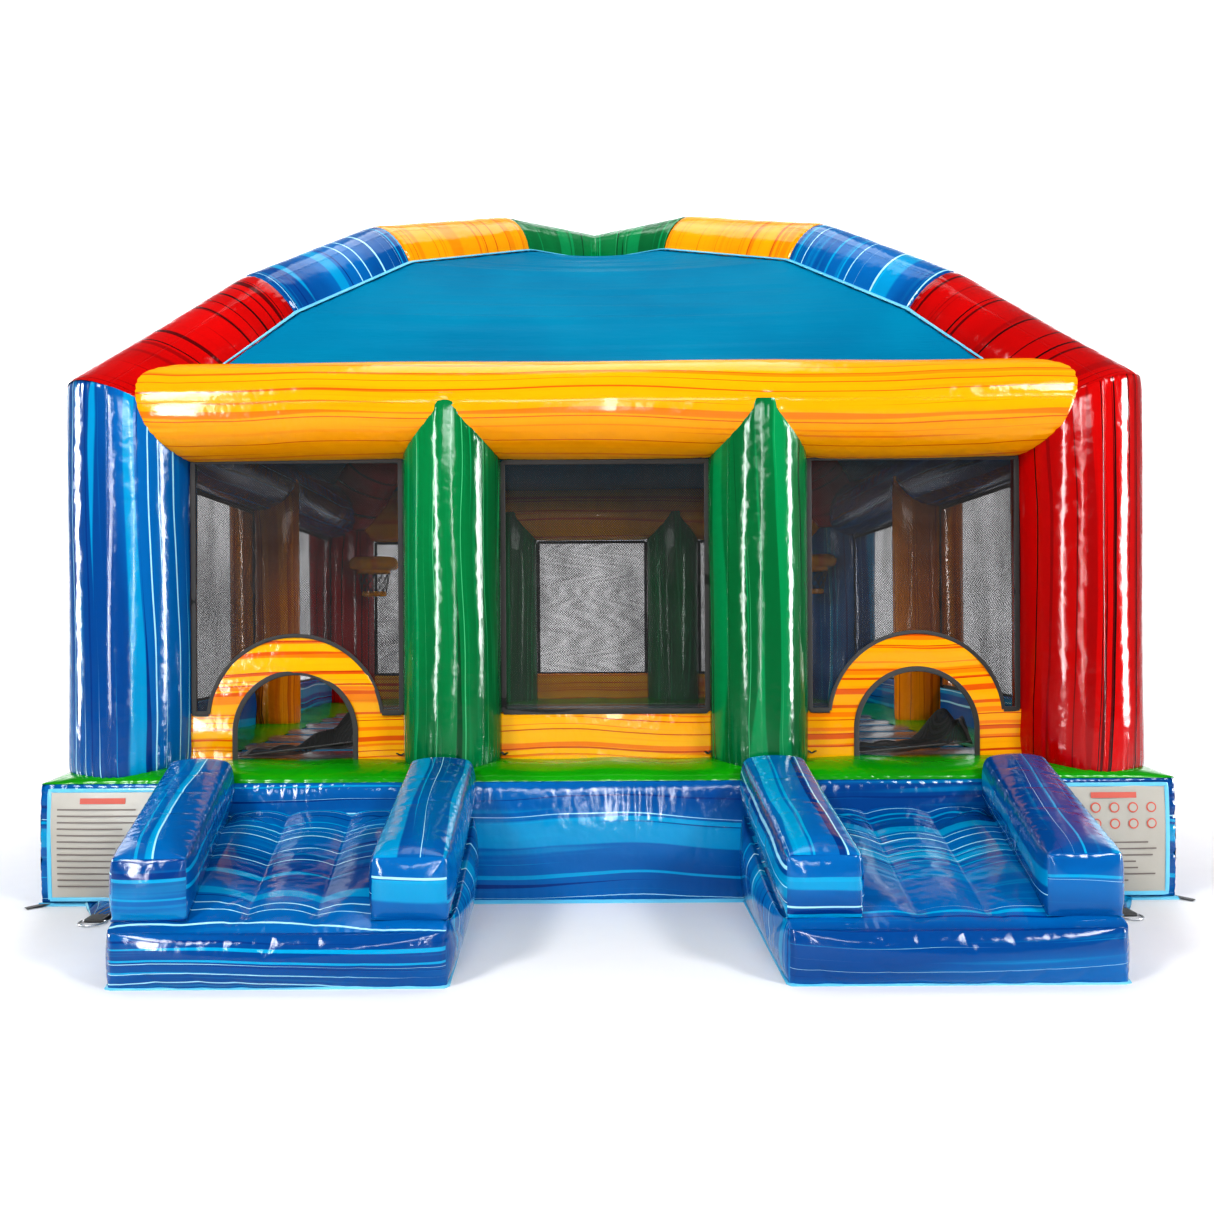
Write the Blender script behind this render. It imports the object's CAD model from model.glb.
# %% [markdown]
# # Inflatable bounce house
# The house is a family of air-filled vinyl chambers: a mattress, columns, beams, posts, two roof
# arches and two ramps, with flat panels of netting and fabric sewn between them. This lesson cuts
# each chamber from a flat printed sheet, rolls it, and lets the seams pucker as real seams do.

# %% Load the frame
import math

import bpy
import bmesh
import numpy as np
from mathutils import Euler, Matrix, Vector


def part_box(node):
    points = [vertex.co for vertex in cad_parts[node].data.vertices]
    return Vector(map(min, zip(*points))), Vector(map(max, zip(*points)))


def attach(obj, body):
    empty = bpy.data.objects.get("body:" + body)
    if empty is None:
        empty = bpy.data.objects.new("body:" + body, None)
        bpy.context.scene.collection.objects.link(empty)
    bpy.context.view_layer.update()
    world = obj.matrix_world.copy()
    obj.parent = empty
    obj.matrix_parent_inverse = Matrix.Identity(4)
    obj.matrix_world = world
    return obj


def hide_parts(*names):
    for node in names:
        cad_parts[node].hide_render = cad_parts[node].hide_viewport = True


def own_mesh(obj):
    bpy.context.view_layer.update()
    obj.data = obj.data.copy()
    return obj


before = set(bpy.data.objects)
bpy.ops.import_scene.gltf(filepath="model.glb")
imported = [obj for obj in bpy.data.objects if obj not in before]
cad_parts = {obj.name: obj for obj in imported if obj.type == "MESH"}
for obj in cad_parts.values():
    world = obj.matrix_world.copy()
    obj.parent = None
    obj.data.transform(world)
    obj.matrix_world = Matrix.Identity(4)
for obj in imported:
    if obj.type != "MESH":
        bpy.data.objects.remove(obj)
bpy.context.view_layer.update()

# %% [markdown]
# ## Sizes
# Every place comes from the frame's boxes, so a chamber always lands on the part that carries it.
# Only the bends of the roof arches are repeated here, measured from the corner columns. Chambers
# sink a little into each other where they are sewn: that is `SEAM_TUCK`.

# %% Read the sizes
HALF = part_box("base_bottom")[1].x
WALL_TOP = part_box("base_walls")[1].z
BORDER_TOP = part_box("floor_border")[1].z
FLOOR_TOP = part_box("floor_surface")[1].z
FLOOR_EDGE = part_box("floor_surface")[1].x
column_low, column_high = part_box("column_front_left")
COLUMN_AT = -(column_low.x + column_high.x) / 2
COLUMN_R = (column_high.x - column_low.x) / 2
beam_low, beam_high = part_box("beam_front")
BEAM_AT = -(beam_low.y + beam_high.y) / 2
BEAM_Z = (beam_low.z + beam_high.z) / 2
TUBE_R = (beam_high.z - beam_low.z) / 2
POST_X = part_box("posts_front")[1].x - TUBE_R
ELBOW_Z = 2.68
ARCH_R = 0.31
ARCH_RUNS = [0.0, 0.855, 1.71, 2.79, COLUMN_AT * math.sqrt(2)]
ARCH_RISES = [0.0, 0.710, 1.222, 1.571, 1.694]
LOW_WALL_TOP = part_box("half_walls_side")[1].z
WINDOW_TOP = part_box("windows_back")[1].z
SEAM_TUCK = 0.012
VINYL_THICK = 0.003
print("half side", round(HALF, 3), "column at", round(COLUMN_AT, 3), "beam height", round(BEAM_Z, 3))

# %% [markdown]
# ## Camera and studio
# A level camera stands in front of the house, a little to its left, at the height of a person's
# shoulder. The studio is a pale floor that sweeps up behind, lit by large soft panels. Four tall
# panels are seen only in the gloss: they give the vinyl the upright white highlights that make it
# read as tight and full of air. The wash behind lights the backdrop alone.

# %% Camera
camera_data = bpy.data.cameras.new("camera")
camera_data.sensor_width = 36.0
camera_data.lens = 31.64
camera_data.shift_x = 0.0239
camera_data.shift_y = 0.0198
camera = bpy.data.objects.new("camera", camera_data)
camera.location = (-0.155, -8.755, 1.455)
camera.rotation_euler = Euler((math.radians(90), math.radians(0.35), 0), "XYZ")
bpy.context.scene.collection.objects.link(camera)
bpy.context.scene.camera = camera
print("camera at", tuple(round(c, 3) for c in camera.location))


# %% Lights
def area_light(name, place, target, size, power):
    """A soft rectangular panel that faces a target point."""
    data = bpy.data.lights.new(name, "AREA")
    data.shape = "RECTANGLE"
    data.size, data.size_y = size
    data.energy = power
    light = bpy.data.objects.new(name, data)
    light.location = place
    aim = Vector(target) - Vector(place)
    light.rotation_euler = aim.to_track_quat("-Z", "Y").to_euler()
    bpy.context.scene.collection.objects.link(light)
    return light


area_light("key_left", (-6.5, -10.5, 8.5), (0, -1, 1.5), (2.4, 2.4), 620)
area_light("key_right", (7.0, -10.0, 8.0), (0, -1, 1.5), (2.4, 2.4), 540)
area_light("front_fill", (0, -14.0, 5.0), (0, -2, 1.5), (6.0, 0.8), 300)
# Tall panels that only gloss can see: x, y, width and power.
GLINTS = [(8.4, -5.3, 1.20, 950), (-5.3, -10.3, 0.70, 560),
          (0.4, -11.4, 0.20, 170), (-8.6, -2.9, 0.90, 620)]
for number, (x, y, width, power) in enumerate(GLINTS):
    glint = area_light(f"glint_{number}", (x, y, 2.7), (x * 0.2, -3, 1.9), (width, 4.4), power)
    glint.visible_diffuse = False
area_light("top", (0, -0.5, 10.5), (0, 0.5, 0), (6.0, 6.0), 300)
area_light("inside", (0, 0, 2.6), (0, 0.2, 0), (1.6, 1.6), 70)
area_light("behind", (0, 8.5, 8.0), (0, 3.0, 1.5), (6.0, 2.0), 420)
wash = area_light("backdrop_light", (0, 9.0, 13.2), (0, 20.0, 9.2), (44.0, 2.0), 6500)
wash.visible_glossy = False
world = bpy.data.worlds.new("studio")
world.use_nodes = True
world.node_tree.nodes["Background"].inputs["Color"].default_value = (0.94, 0.97, 1.0, 1)
world.node_tree.nodes["Background"].inputs["Strength"].default_value = 0.20
bpy.context.scene.world = world
bpy.context.scene.view_settings.view_transform = "Standard"
bpy.context.scene.view_settings.look = "Medium High Contrast"

# %% [markdown]
# ## Shader maths
# A finish is easier to read as an expression than as a tangle of nodes. `Val` wraps one socket,
# so `noise * 0.5 + 0.2` adds two Math nodes. `Finish.node` makes any other node: its settings
# are given first, then the values or links of its sockets.

# %% Wrap sockets
class Val:
    """One output socket that Python arithmetic can work on."""

    def __init__(self, finish, socket):
        self.finish = finish
        self.socket = socket

    def maths(self, operation, *others):
        return self.finish.node("ShaderNodeMath", {"operation": operation}, self, *others)

    def __add__(self, other):
        return self.maths("ADD", other)

    def __sub__(self, other):
        return self.maths("SUBTRACT", other)

    def __mul__(self, other):
        return self.maths("MULTIPLY", other)

    def size(self):
        return self.maths("ABSOLUTE")

    def fraction(self):
        return self.maths("FRACT")

    def least(self, other):
        return self.maths("MINIMUM", other)

    def most(self, other):
        return self.maths("MAXIMUM", other)

    def ramp(self, low, high):
        """0 below low and 1 above high, smooth between; low may be the larger."""
        return self.finish.node("ShaderNodeMapRange", {"interpolation_type": "SMOOTHSTEP"},
                                self, low, high, 0.0, 1.0)


class Finish:
    """A material being built."""

    def __init__(self, name, **constants):
        self.material = bpy.data.materials.new(name)
        self.material.use_nodes = True
        self.tree = self.material.node_tree
        self.shader = self.tree.nodes["Principled BSDF"]
        for socket, value in constants.items():
            self.shader.inputs[socket.replace("_", " ")].default_value = value

    def node(self, kind, settings, *values, output=0, **named):
        """Any node: settings first, then sockets by position or by name."""
        made = self.tree.nodes.new(kind)
        for key, value in settings.items():
            setattr(made, key, value)
        for key, value in [*enumerate(values), *((k.replace("_", " "), v) for k, v in named.items())]:
            self.feed(made.inputs[key], value)
        return Val(self, made.outputs[output])

    def feed(self, socket, value):
        """Links a wrapped socket, or sets a constant."""
        if isinstance(value, Val):
            self.tree.links.new(value.socket, socket)
        else:
            socket.default_value = value

    def set(self, socket, value):
        self.feed(self.shader.inputs[socket], value)

    def mix(self, share, first, second):
        """A colour between two colours."""
        made = self.tree.nodes.new("ShaderNodeMix")
        made.data_type = "RGBA"
        self.feed(made.inputs[0], share)
        self.feed(made.inputs[6], first)
        self.feed(made.inputs[7], second)
        return Val(self, made.outputs[2])

    def print_place(self):
        """Metres along and across the printed sheet that the piece was cut from."""
        place = self.node("ShaderNodeUVMap", {"uv_map": "UVMap"})
        return self.parts(place)

    def object_place(self):
        """Metres in the frame of the house."""
        place = self.node("ShaderNodeTexCoord", {}, output=3)
        return self.parts(place)

    def parts(self, vector):
        made = self.tree.nodes.new("ShaderNodeSeparateXYZ")
        self.feed(made.inputs[0], vector)
        return [Val(self, output) for output in made.outputs]

    def join(self, x, y, z):
        return self.node("ShaderNodeCombineXYZ", {}, x, y, z)

    def noise(self, vector, scale=1.0, detail=2.0, rough=0.5, bend=0.0):
        return self.node("ShaderNodeTexNoise", {}, Vector=vector, Scale=scale, Detail=detail,
                         Roughness=rough, Distortion=bend)

    def bump(self, height, strength, distance):
        normal = self.node("ShaderNodeBump", {}, Strength=strength, Distance=distance, Height=height)
        self.set("Normal", normal)


def rgb(red, green, blue):
    """A colour given as the eye reads it, 0 to 255, turned to the light it stands for."""
    shares = [c / 255 for c in (red, green, blue)]
    light = [c / 12.92 if c <= 10 / 255 else ((c + 0.055) / 1.055) ** 2.4 for c in shares]
    return (*light, 1.0)


print("shader helpers ready")

# %% [markdown]
# ## Marbled vinyl
# The chambers are cut from vinyl printed with long wavy streaks, like brushed paint. A soft noise
# shades the base, and four sets of strokes lie over it: wide bands, dark streaks, narrow bands and
# thin lines. Each stroke tapers out and starts again further on. The strokes follow the sheet, so
# they turn with it: up a column, along a beam, and round an arch.


# %% Marbled vinyl
def strokes(f, along, bent, pitch, seed, width, share):
    """Long tapering strokes, unevenly spaced: 1 on a stroke, 0 between."""
    spread = f.noise(f.join(along * 0.10, bent * (0.4 / pitch), seed), 1.0, 1.0) * 2.2
    lane = bent * (1 / pitch) + spread
    number = lane.maths("FLOOR")
    pick = f.node("ShaderNodeTexWhiteNoise", {"noise_dimensions": "3D"}, Vector=f.join(number, seed, 0.5))
    life = f.noise(f.join(along * 0.45 + number * 7.31, seed, 0.0), 1.0, 1.0)
    reach = (life * 0.7 + pick * 0.6).ramp(1.0 - share, 1.25 - share)
    edge = reach * width - (lane.fraction() - 0.5).size()
    return edge.ramp(0.0, width * 0.22)


def marbled(name, base, deep, band, line, dark, gloss=0.06, shares=(0.42, 0.42, 0.36)):
    """Glossy printed vinyl: a base colour in soft shades, with wide bands and thin lines."""
    f = Finish(name, IOR=1.28, Coat_Weight=0.16, Coat_Roughness=0.04)
    along, across, _ = f.print_place()
    drift = f.noise(f.join(along * 0.55, across * 0.5, 3.0), 1.0, 1.0)
    ripple = f.noise(f.join(along * 1.9, across * 1.2, 8.0), 1.0, 1.0)
    bent = across + drift * 0.20 + ripple * 0.03
    shade = f.noise(f.join(along * 0.25, bent * 2.4, 7.0), 1.0, 2.0)
    colour = f.mix(shade.ramp(0.40, 0.62), base, deep)
    brushed = f.noise(f.join(along * 0.5, bent * 34.0, 17.0), 1.0, 2.0)
    brushed = brushed * f.noise(f.join(along * 0.5, bent * 3.0, 23.0))
    colour = f.mix(brushed.ramp(0.29, 0.42) * 0.42, colour, band)
    colour = f.mix(strokes(f, along, bent, 0.150, 1.0, 0.34, shares[0]) * 0.8, colour, band)
    colour = f.mix(strokes(f, along, bent, 0.060, 5.0, 0.20, shares[1] * 0.8), colour, dark)
    colour = f.mix(strokes(f, along, bent, 0.085, 9.0, 0.16, shares[2]), colour, band)
    colour = f.mix(strokes(f, along, bent, 0.075, 13.0, 0.060, shares[1]), colour, line)
    f.set("Base Color", colour)
    x, y, z = f.object_place()
    soft = f.noise(f.join(x, y, z), 4.0, 3.0, 0.6) + f.noise(f.join(x, y, z), 17.0, 2.0) * 0.12
    weave = f.noise(f.join(x, y, z), 260.0, 1.0)
    lap = f.parts(f.node("ShaderNodeUVMap", {"uv_map": "lap"}))[0].fraction()
    away = (lap - 0.5).size()
    gather = f.noise(f.join(along * 1.0, across * 0.35, 4.0), 42.0, 2.0, 0.7)
    seam = away.ramp(0.060, 0.004) * gather * 0.30 - away.ramp(0.014, 0.004) * 0.22
    f.set("Roughness", soft * 0.09 + gloss)
    f.bump(soft + weave * 0.02 + seam, 0.6, 0.018)
    return f.material


def plain_vinyl(name, base, deep, gloss=0.14):
    """Glossy vinyl of one colour, with the faint mottling of a coated fabric."""
    f = Finish(name, IOR=1.28, Coat_Weight=0.16, Coat_Roughness=0.05)
    x, y, z = f.object_place()
    place = f.join(x, y, z)
    mottle = f.noise(place, 1.7, 3.0)
    soft = f.noise(place, 6.0, 3.0, 0.55)
    f.set("Base Color", f.mix(mottle.ramp(0.35, 0.7), base, deep))
    f.set("Roughness", soft * 0.14 + gloss)
    f.bump(soft + f.noise(place, 260.0, 1.0) * 0.02, 0.5, 0.012)
    return f.material


BLUE = marbled("vinyl_blue", rgb(0, 104, 174), rgb(0, 72, 140), rgb(0, 158, 208), rgb(172, 232, 248),
               rgb(0, 58, 128), shares=(0.34, 0.30, 0.28))
RED = marbled("vinyl_red", rgb(200, 2, 2), rgb(174, 0, 0), rgb(146, 0, 2), rgb(38, 2, 4), rgb(92, 0, 2),
              shares=(0.20, 0.34, 0.24))
YELLOW = marbled("vinyl_yellow", rgb(252, 170, 0), rgb(246, 158, 0), rgb(240, 136, 2), rgb(216, 92, 8),
                 rgb(234, 122, 8), shares=(0.24, 0.36, 0.30))
ORANGE = marbled("vinyl_orange", rgb(236, 140, 8), rgb(222, 124, 4), rgb(206, 104, 4), rgb(160, 66, 4),
                 rgb(186, 86, 4))
GREEN = marbled("vinyl_green", rgb(0, 126, 66), rgb(0, 102, 52), rgb(0, 148, 84), rgb(70, 184, 122),
                rgb(0, 74, 38), shares=(0.30, 0.24, 0.30))
NAVY = marbled("vinyl_navy", rgb(0, 76, 152), rgb(0, 52, 116), rgb(0, 108, 184), rgb(90, 175, 225),
               rgb(0, 40, 96), shares=(0.34, 0.26, 0.26))
AMBER = marbled("vinyl_amber", rgb(255, 184, 0), rgb(252, 168, 0), rgb(244, 128, 2), rgb(206, 70, 4),
                rgb(226, 94, 4), shares=(0.26, 0.50, 0.40))
LIME = plain_vinyl("vinyl_lime", rgb(22, 160, 6), rgb(12, 136, 4))
GREY = plain_vinyl("floor_grey", rgb(112, 114, 118), rgb(92, 94, 98), 0.12)
print("printed vinyls ready")

# %% [markdown]
# ## Roof fabric, netting and tape
# The roof is a thinner coated fabric, tight and a little wrinkled. The netting is a grid of strands
# and the finish is see-through between them. Tape and webbing are ribbed weaves.


# %% Soft finishes
def roof_fabric():
    """Sky-blue coated fabric with pull lines that run across the panel."""
    f = Finish("roof_blue", IOR=1.05, Coat_Weight=0.0)
    x, y, z = f.object_place()
    along, across, _ = f.print_place()
    pull = f.noise(f.join(along * 0.9, across * 7.0, 2.0), 1.0, 4.0, 0.6)
    tone = f.noise(f.join(x, y, z), 1.1, 2.0)
    f.set("Base Color", f.mix(tone.ramp(0.3, 0.75), rgb(0, 112, 150), rgb(0, 126, 162)))
    f.set("Roughness", pull * 0.20 + 0.34)
    f.bump(pull + f.noise(f.join(x, y, z), 220.0, 1.0) * 0.03, 0.6, 0.02)
    return f.material


def netting(name, cell, strand, veil, colour):
    """A diamond net on an upright sheet: strands are solid, and the rest lets light through."""
    f = Finish(name, Roughness=0.75, IOR=1.4)
    x, y, z = f.object_place()
    level = x + y
    first = ((level + z) * (1 / cell)).fraction()
    second = ((level - z) * (1 / cell)).fraction()
    knot = (first - 0.5).size().most((second - 0.5).size())
    cord = knot.ramp(0.5 - strand, 0.5 - strand * 0.6)
    fold = f.noise(f.join(x * 1.3, y * 1.3, z * 0.5), 1.6, 3.0, 0.6)
    f.set("Base Color", f.mix(cord, colour, rgb(8, 8, 9)))
    f.set("Alpha", (cord + fold.ramp(0.35, 0.7) * 0.26 + veil).least(1.0))
    f.bump(cord, 0.4, 0.002)
    return f.material


def woven(name, base, light, pitch):
    """Ribbed narrow fabric: tape and webbing."""
    f = Finish(name, Roughness=0.65, IOR=1.45, Sheen_Weight=0.2)
    x, y, z = f.object_place()
    rib = ((x + y + z) * (1 / pitch)).fraction()
    ridge = (rib - 0.5).size() * 2.0
    fuzz = f.noise(f.join(x, y, z), 180.0, 2.0)
    f.set("Base Color", f.mix(fuzz, base, light))
    f.bump(ridge + fuzz * 0.5, 0.35, 0.0015)
    return f.material


ROOF = roof_fabric()
NET = netting("mesh_black", 0.014, 0.13, 0.32, rgb(14, 14, 15))
FLAP = netting("mesh_double", 0.014, 0.20, 0.62, rgb(20, 22, 20))
HOOP_NET = woven("net_cord", rgb(20, 20, 21), rgb(46, 44, 42), 0.003)
TAPE = woven("binding_black", rgb(22, 20, 20), rgb(52, 48, 46), 0.004)
WEBBING = woven("webbing_black", rgb(14, 14, 15), rgb(40, 38, 36), 0.005)
PALE = plain_vinyl("piping_pale", rgb(120, 205, 235), rgb(90, 190, 225))
print("fabrics ready")


# %% [markdown]
# ## Hard finishes
# Steel, the zip and the blower are solid things: a grain too fine to see one by one, and a slow
# cloud that makes some places duller than others. The sign's print uses the same recipe.

# %% Hard finishes
def moulded(name, base, deep, rough, metal=0.0, grain=90.0):
    """A moulded or coated solid with a fine grain and a little wear."""
    f = Finish(name, IOR=1.48, Metallic=metal)
    x, y, z = f.object_place()
    place = f.join(x, y, z)
    cloud = f.noise(place, 7.0, 3.0)
    fine = f.noise(place, grain, 2.0)
    f.set("Base Color", f.mix(cloud, base, deep))
    f.set("Roughness", cloud * 0.2 + rough)
    f.bump(fine, 0.2, 0.001)
    return f.material


STEEL = moulded("steel", rgb(190, 192, 196), rgb(150, 152, 156), 0.22, 1.0)
ZIP = moulded("zip_black", rgb(18, 18, 20), rgb(34, 34, 36), 0.4)
SHELL = moulded("blower_shell", rgb(245, 132, 20), rgb(232, 112, 12), 0.34)
DARK = moulded("blower_dark", rgb(24, 24, 26), rgb(40, 40, 42), 0.38)
CAST = moulded("blower_metal", rgb(176, 178, 182), rgb(140, 142, 146), 0.35, 0.9)
SIGN = moulded("sign_white", rgb(184, 180, 170), rgb(174, 169, 158), 0.3)
INK = moulded("sign_ink", rgb(106, 96, 90), rgb(124, 114, 108), 0.5)
HEADING = moulded("sign_heading", rgb(196, 70, 50), rgb(206, 90, 70), 0.5)
FLOOR = moulded("studio_floor", rgb(246, 246, 247), rgb(243, 243, 245), 0.6, 0.0, 20.0)
print("materials:", len(bpy.data.materials))

# %% [markdown]
# ## Points, picking and joining
# Almost every step reads a mesh as a table of points, or writes one back, and picks the piece that
# Blender's tools should work on. These helpers say so in one word each.

# %% Helpers
WELD = 0.0004


def points_of(mesh):
    """The points of a mesh, as rows of x, y and z."""
    return np.array([point.co for point in mesh.vertices])


def move_points(piece, points):
    """Puts the points of a piece where the rows say."""
    piece.data.vertices.foreach_set("co", np.asarray(points).ravel())
    piece.data.update()


def shade_round(piece):
    """Shades the facets of a piece as one smooth surface."""
    piece.data.polygons.foreach_set("use_smooth", [True] * len(piece.data.polygons))


def pick(*pieces):
    """Selects pieces and makes the first one active."""
    bpy.ops.object.select_all(action="DESELECT")
    for piece in pieces:
        piece.select_set(True)
    bpy.context.view_layer.objects.active = pieces[0]


def apply_modifier(piece, modifier):
    """Makes a modifier's result the mesh itself."""
    pick(piece)
    bpy.ops.object.modifier_apply(modifier=modifier.name)


def stitch(distance, face_out=False):
    """Merges points of the active piece that lie closer than a distance."""
    bpy.ops.object.mode_set(mode="EDIT")
    bpy.ops.mesh.select_all(action="SELECT")
    bpy.ops.mesh.remove_doubles(threshold=distance)
    if face_out:
        bpy.ops.mesh.normals_make_consistent(inside=False)
    bpy.ops.object.mode_set(mode="OBJECT")


def join(pieces, name):
    """Joins pieces into one named mesh."""
    pick(*pieces)
    if len(pieces) > 1:
        bpy.ops.object.join()
    piece = bpy.context.object
    piece.name = piece.data.name = name
    return piece


def repaint(node, material):
    """Gives a part that keeps its designed shape a finish of its own."""
    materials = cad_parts[node].data.materials
    materials.clear()
    materials.append(material)


print("helpers ready")

# %% [markdown]
# ## The studio floor
# One large sheet lies flat under the house and bends up into a backdrop far behind it. It isn't
# part of the object, so it is marked as stage.

# %% Floor
bpy.ops.object.select_all(action="DESELECT")
bpy.ops.mesh.primitive_grid_add(x_subdivisions=8, y_subdivisions=160, size=1)
floor = bpy.context.object
floor.name = "studio_floor"
NEAR_EDGE, SWEEP_START, SWEEP_R = -50, 9.0, 7.0
FLOOR_WIDTH, FLOOR_LENGTH = 120, 110
flat = points_of(floor.data)
walked = NEAR_EDGE + FLOOR_LENGTH * (flat[:, 1] + 0.5)
turned = np.clip((walked - SWEEP_START) / SWEEP_R, 0, math.pi / 2)
rise = SWEEP_R * (1 - np.cos(turned)) + np.clip(walked - SWEEP_START - SWEEP_R * math.pi / 2, 0, None)
depth = np.minimum(walked, SWEEP_START) + SWEEP_R * np.sin(turned)
move_points(floor, np.stack([flat[:, 0] * FLOOR_WIDTH, depth, rise], axis=1))
shade_round(floor)
floor.data.materials.append(FLOOR)
print("floor laid")

# %% [markdown]
# ## Cutting and rolling a sheet
# Real chambers start as flat sheets. `cut_sheet` adds a fine grid, notes where each point lies on
# the sheet (0 to 1 both ways), and moves the points to where a shape function puts them. Edges
# that meet are welded. The sheet's own map is kept in metres, so a printed pattern follows it.


# %% Sheets
def cut_sheet(name, cells, size, place, grain="along", offset=0.0, weld=False):
    """A grid of cells, shaped by place(u, v), with a print map in metres."""
    bpy.ops.object.select_all(action="DESELECT")
    bpy.ops.mesh.primitive_grid_add(x_subdivisions=cells[0], y_subdivisions=cells[1], size=1)
    piece = bpy.context.object
    piece.name = piece.data.name = name
    flat = points_of(piece.data)
    move_points(piece, np.stack(place(flat[:, 0] + 0.5, flat[:, 1] + 0.5), axis=1))
    layer = piece.data.uv_layers.active
    map_ = np.zeros(len(piece.data.loops) * 2)
    layer.data.foreach_get("uv", map_)
    map_ = map_.reshape(-1, 2) * size + offset
    if grain == "up":
        map_ = map_[:, ::-1]
    layer.data.foreach_set("uv", map_.ravel())
    if weld:
        stitch(WELD)
    shade_round(piece)
    return piece


def finish_piece(piece, material, body="house", stands_for=()):
    """Paints a piece, lets it ride on its body and says what it stands for."""
    piece.data.materials.clear()
    piece.data.materials.append(material)
    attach(piece, body)
    if stands_for:
        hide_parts(*stands_for)
    return piece


print("sheet tools ready")

# %% [markdown]
# ## Puckers
# Where two sheets are sewn, thread and air pressure pull the seam into small pleats. Each pleat is
# a rounded bulge between two sharp valleys, deepest at the seam and gone a hand's width away. The
# number of pleats and their unevenness come from a few seeded waves, so each run is the same.


# %% Puckers
def uneven(turn, seed, lowest=2, highest=9):
    """A smooth wave round a closed seam, between about -1 and 1."""
    draw = np.random.default_rng(seed)
    total = 0.0
    for cycles in range(lowest, highest):
        total = total + draw.normal() * np.sin(2 * np.pi * cycles * turn + draw.uniform(0, 6.28))
    return total / math.sqrt(highest - lowest)


def pucker(turn, distance, seed, pleats=40, depth=0.012, fade=0.10, pinch=0.010):
    """How far a surface is pulled in at a distance from a seam."""
    reach = fade * (1.0 + 0.45 * uneven(turn, seed + 1, 5, 17))
    reach = np.maximum(reach, fade * 0.3)
    ridge = np.abs(np.sin(np.pi * pleats * turn + 0.9 * uneven(turn, seed)))
    strength = 0.65 + 0.35 * uneven(turn, seed + 2, 4, 13)
    pleat = depth * np.clip(strength, 0.1, 1.5) * (1.0 - ridge ** 0.7) * np.exp(-distance / reach)
    return -pleat - pinch * np.exp(-distance / 0.018)


def breathe(turn, along, seed, depth=0.004):
    """The slow unevenness of a full chamber."""
    draw = np.random.default_rng(seed)
    total = 0.0
    for _ in range(5):
        cycles = draw.integers(1, 5)
        total = total + np.sin(2 * np.pi * cycles * turn + draw.uniform(1, 4) * along + draw.uniform(0, 6.28))
    return depth * total / 2.5


def crowd(v, share=0.75):
    """Moves rows towards both ends of a sheet, where the pleats are."""
    return (1 - share) * v + share * (0.5 - 0.5 * np.cos(np.pi * v))


print("pucker tools ready")


# %% [markdown]
# ## A rolled chamber
# `roll` bends a sheet round an axis. Its two ends may be cut square, to a mitre, or to any
# neighbour's surface: `reach_to` walks along the axis until it is inside the neighbour, so a beam
# ends exactly in the side of its column.


# %% Roll a chamber
def unit(vector):
    vector = np.asarray(vector, float)
    return vector / np.linalg.norm(vector)


def ring_frame(axis, side):
    """Two directions square to the axis; turning goes from the first to the second."""
    axis = unit(axis)
    side = unit(np.asarray(side, float) - axis * np.dot(side, axis))
    return side, np.cross(axis, side)


def mark_laps(piece, girth, offset, grain, phase):
    """A second map whose first value passes a half at each of four lengthwise seams."""
    print_map = piece.data.uv_layers.active.data
    values = np.zeros(len(print_map) * 2)
    print_map.foreach_get("uv", values)
    around = values.reshape(-1, 2)[:, 1 if grain == "up" else 0]
    laps = np.stack([(around - offset) / girth * 4 + phase, 0 * around], axis=1)
    layer = piece.data.uv_layers.new(name="lap")
    layer.data.foreach_set("uv", laps.ravel())
    piece.data.uv_layers.active = piece.data.uv_layers["UVMap"]
    return piece


def steady(radius):
    """The same radius all along a tube."""
    return lambda t: radius + 0 * np.asarray(t)


def roll(name, start, axis, side, radius, ends, cells, seeds, grain="up", offset=0.0, pleats=40,
         depth=(0.006, 0.006), fade=0.08, pinch=(0.006, 0.006), extra=None, breath=0.004, lap_phase=0.0):
    """A tube: ends(turn, arms) gives where it starts and stops along the axis."""
    start, axis = np.asarray(start, float), unit(axis)
    first, second = ring_frame(axis, side)

    def place(u, v):
        angle = 2 * np.pi * u
        out = np.cos(angle)[:, None] * first + np.sin(angle)[:, None] * second
        low, high = ends(u, out)
        t = low + (high - low) * crowd(v)
        r = radius(t) + breathe(u, t, seeds[0], breath)
        r = r + pucker(u, t - low, seeds[0], pleats, depth[0], fade, pinch[0])
        r = r + pucker(u, high - t, seeds[1], pleats, depth[1], fade, pinch[1])
        points = start + t[:, None] * axis + r[:, None] * out
        if extra is not None:
            points = extra(points, out)
        return points.T

    middle = radius(0.0)
    length = np.max(ends(np.zeros(1), first[None])[1]) - np.min(ends(np.zeros(1), first[None])[0])
    size = (2 * np.pi * middle, float(length))
    piece = cut_sheet(name, cells, size, place, grain, offset, weld=True)
    return mark_laps(piece, size[0], offset, grain, lap_phase)


def reach_to(start, axis, out, radius, inside, far):
    """How far along the axis each line of the tube runs before it is inside a neighbour."""
    low, high = np.zeros(len(out)), np.full(len(out), far)
    for _ in range(24):
        middle = (low + high) / 2
        hit = inside(start + middle[:, None] * axis + radius * out)
        low, high = np.where(hit, low, middle), np.where(hit, middle, high)
    return high


def mitre(axis, normal, out, radius):
    """Where each line of a tube meets a slanting plane through the axis."""
    return -radius * (out @ normal) / np.dot(axis, normal)


print("rolling tool ready")

# %% [markdown]
# ## Where the chambers are
# The corners all look alike, so one corner is described and the others are reached by turning the
# house a quarter at a time. These small tests say whether a point lies inside a column, an arch
# foot or a beam.

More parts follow.
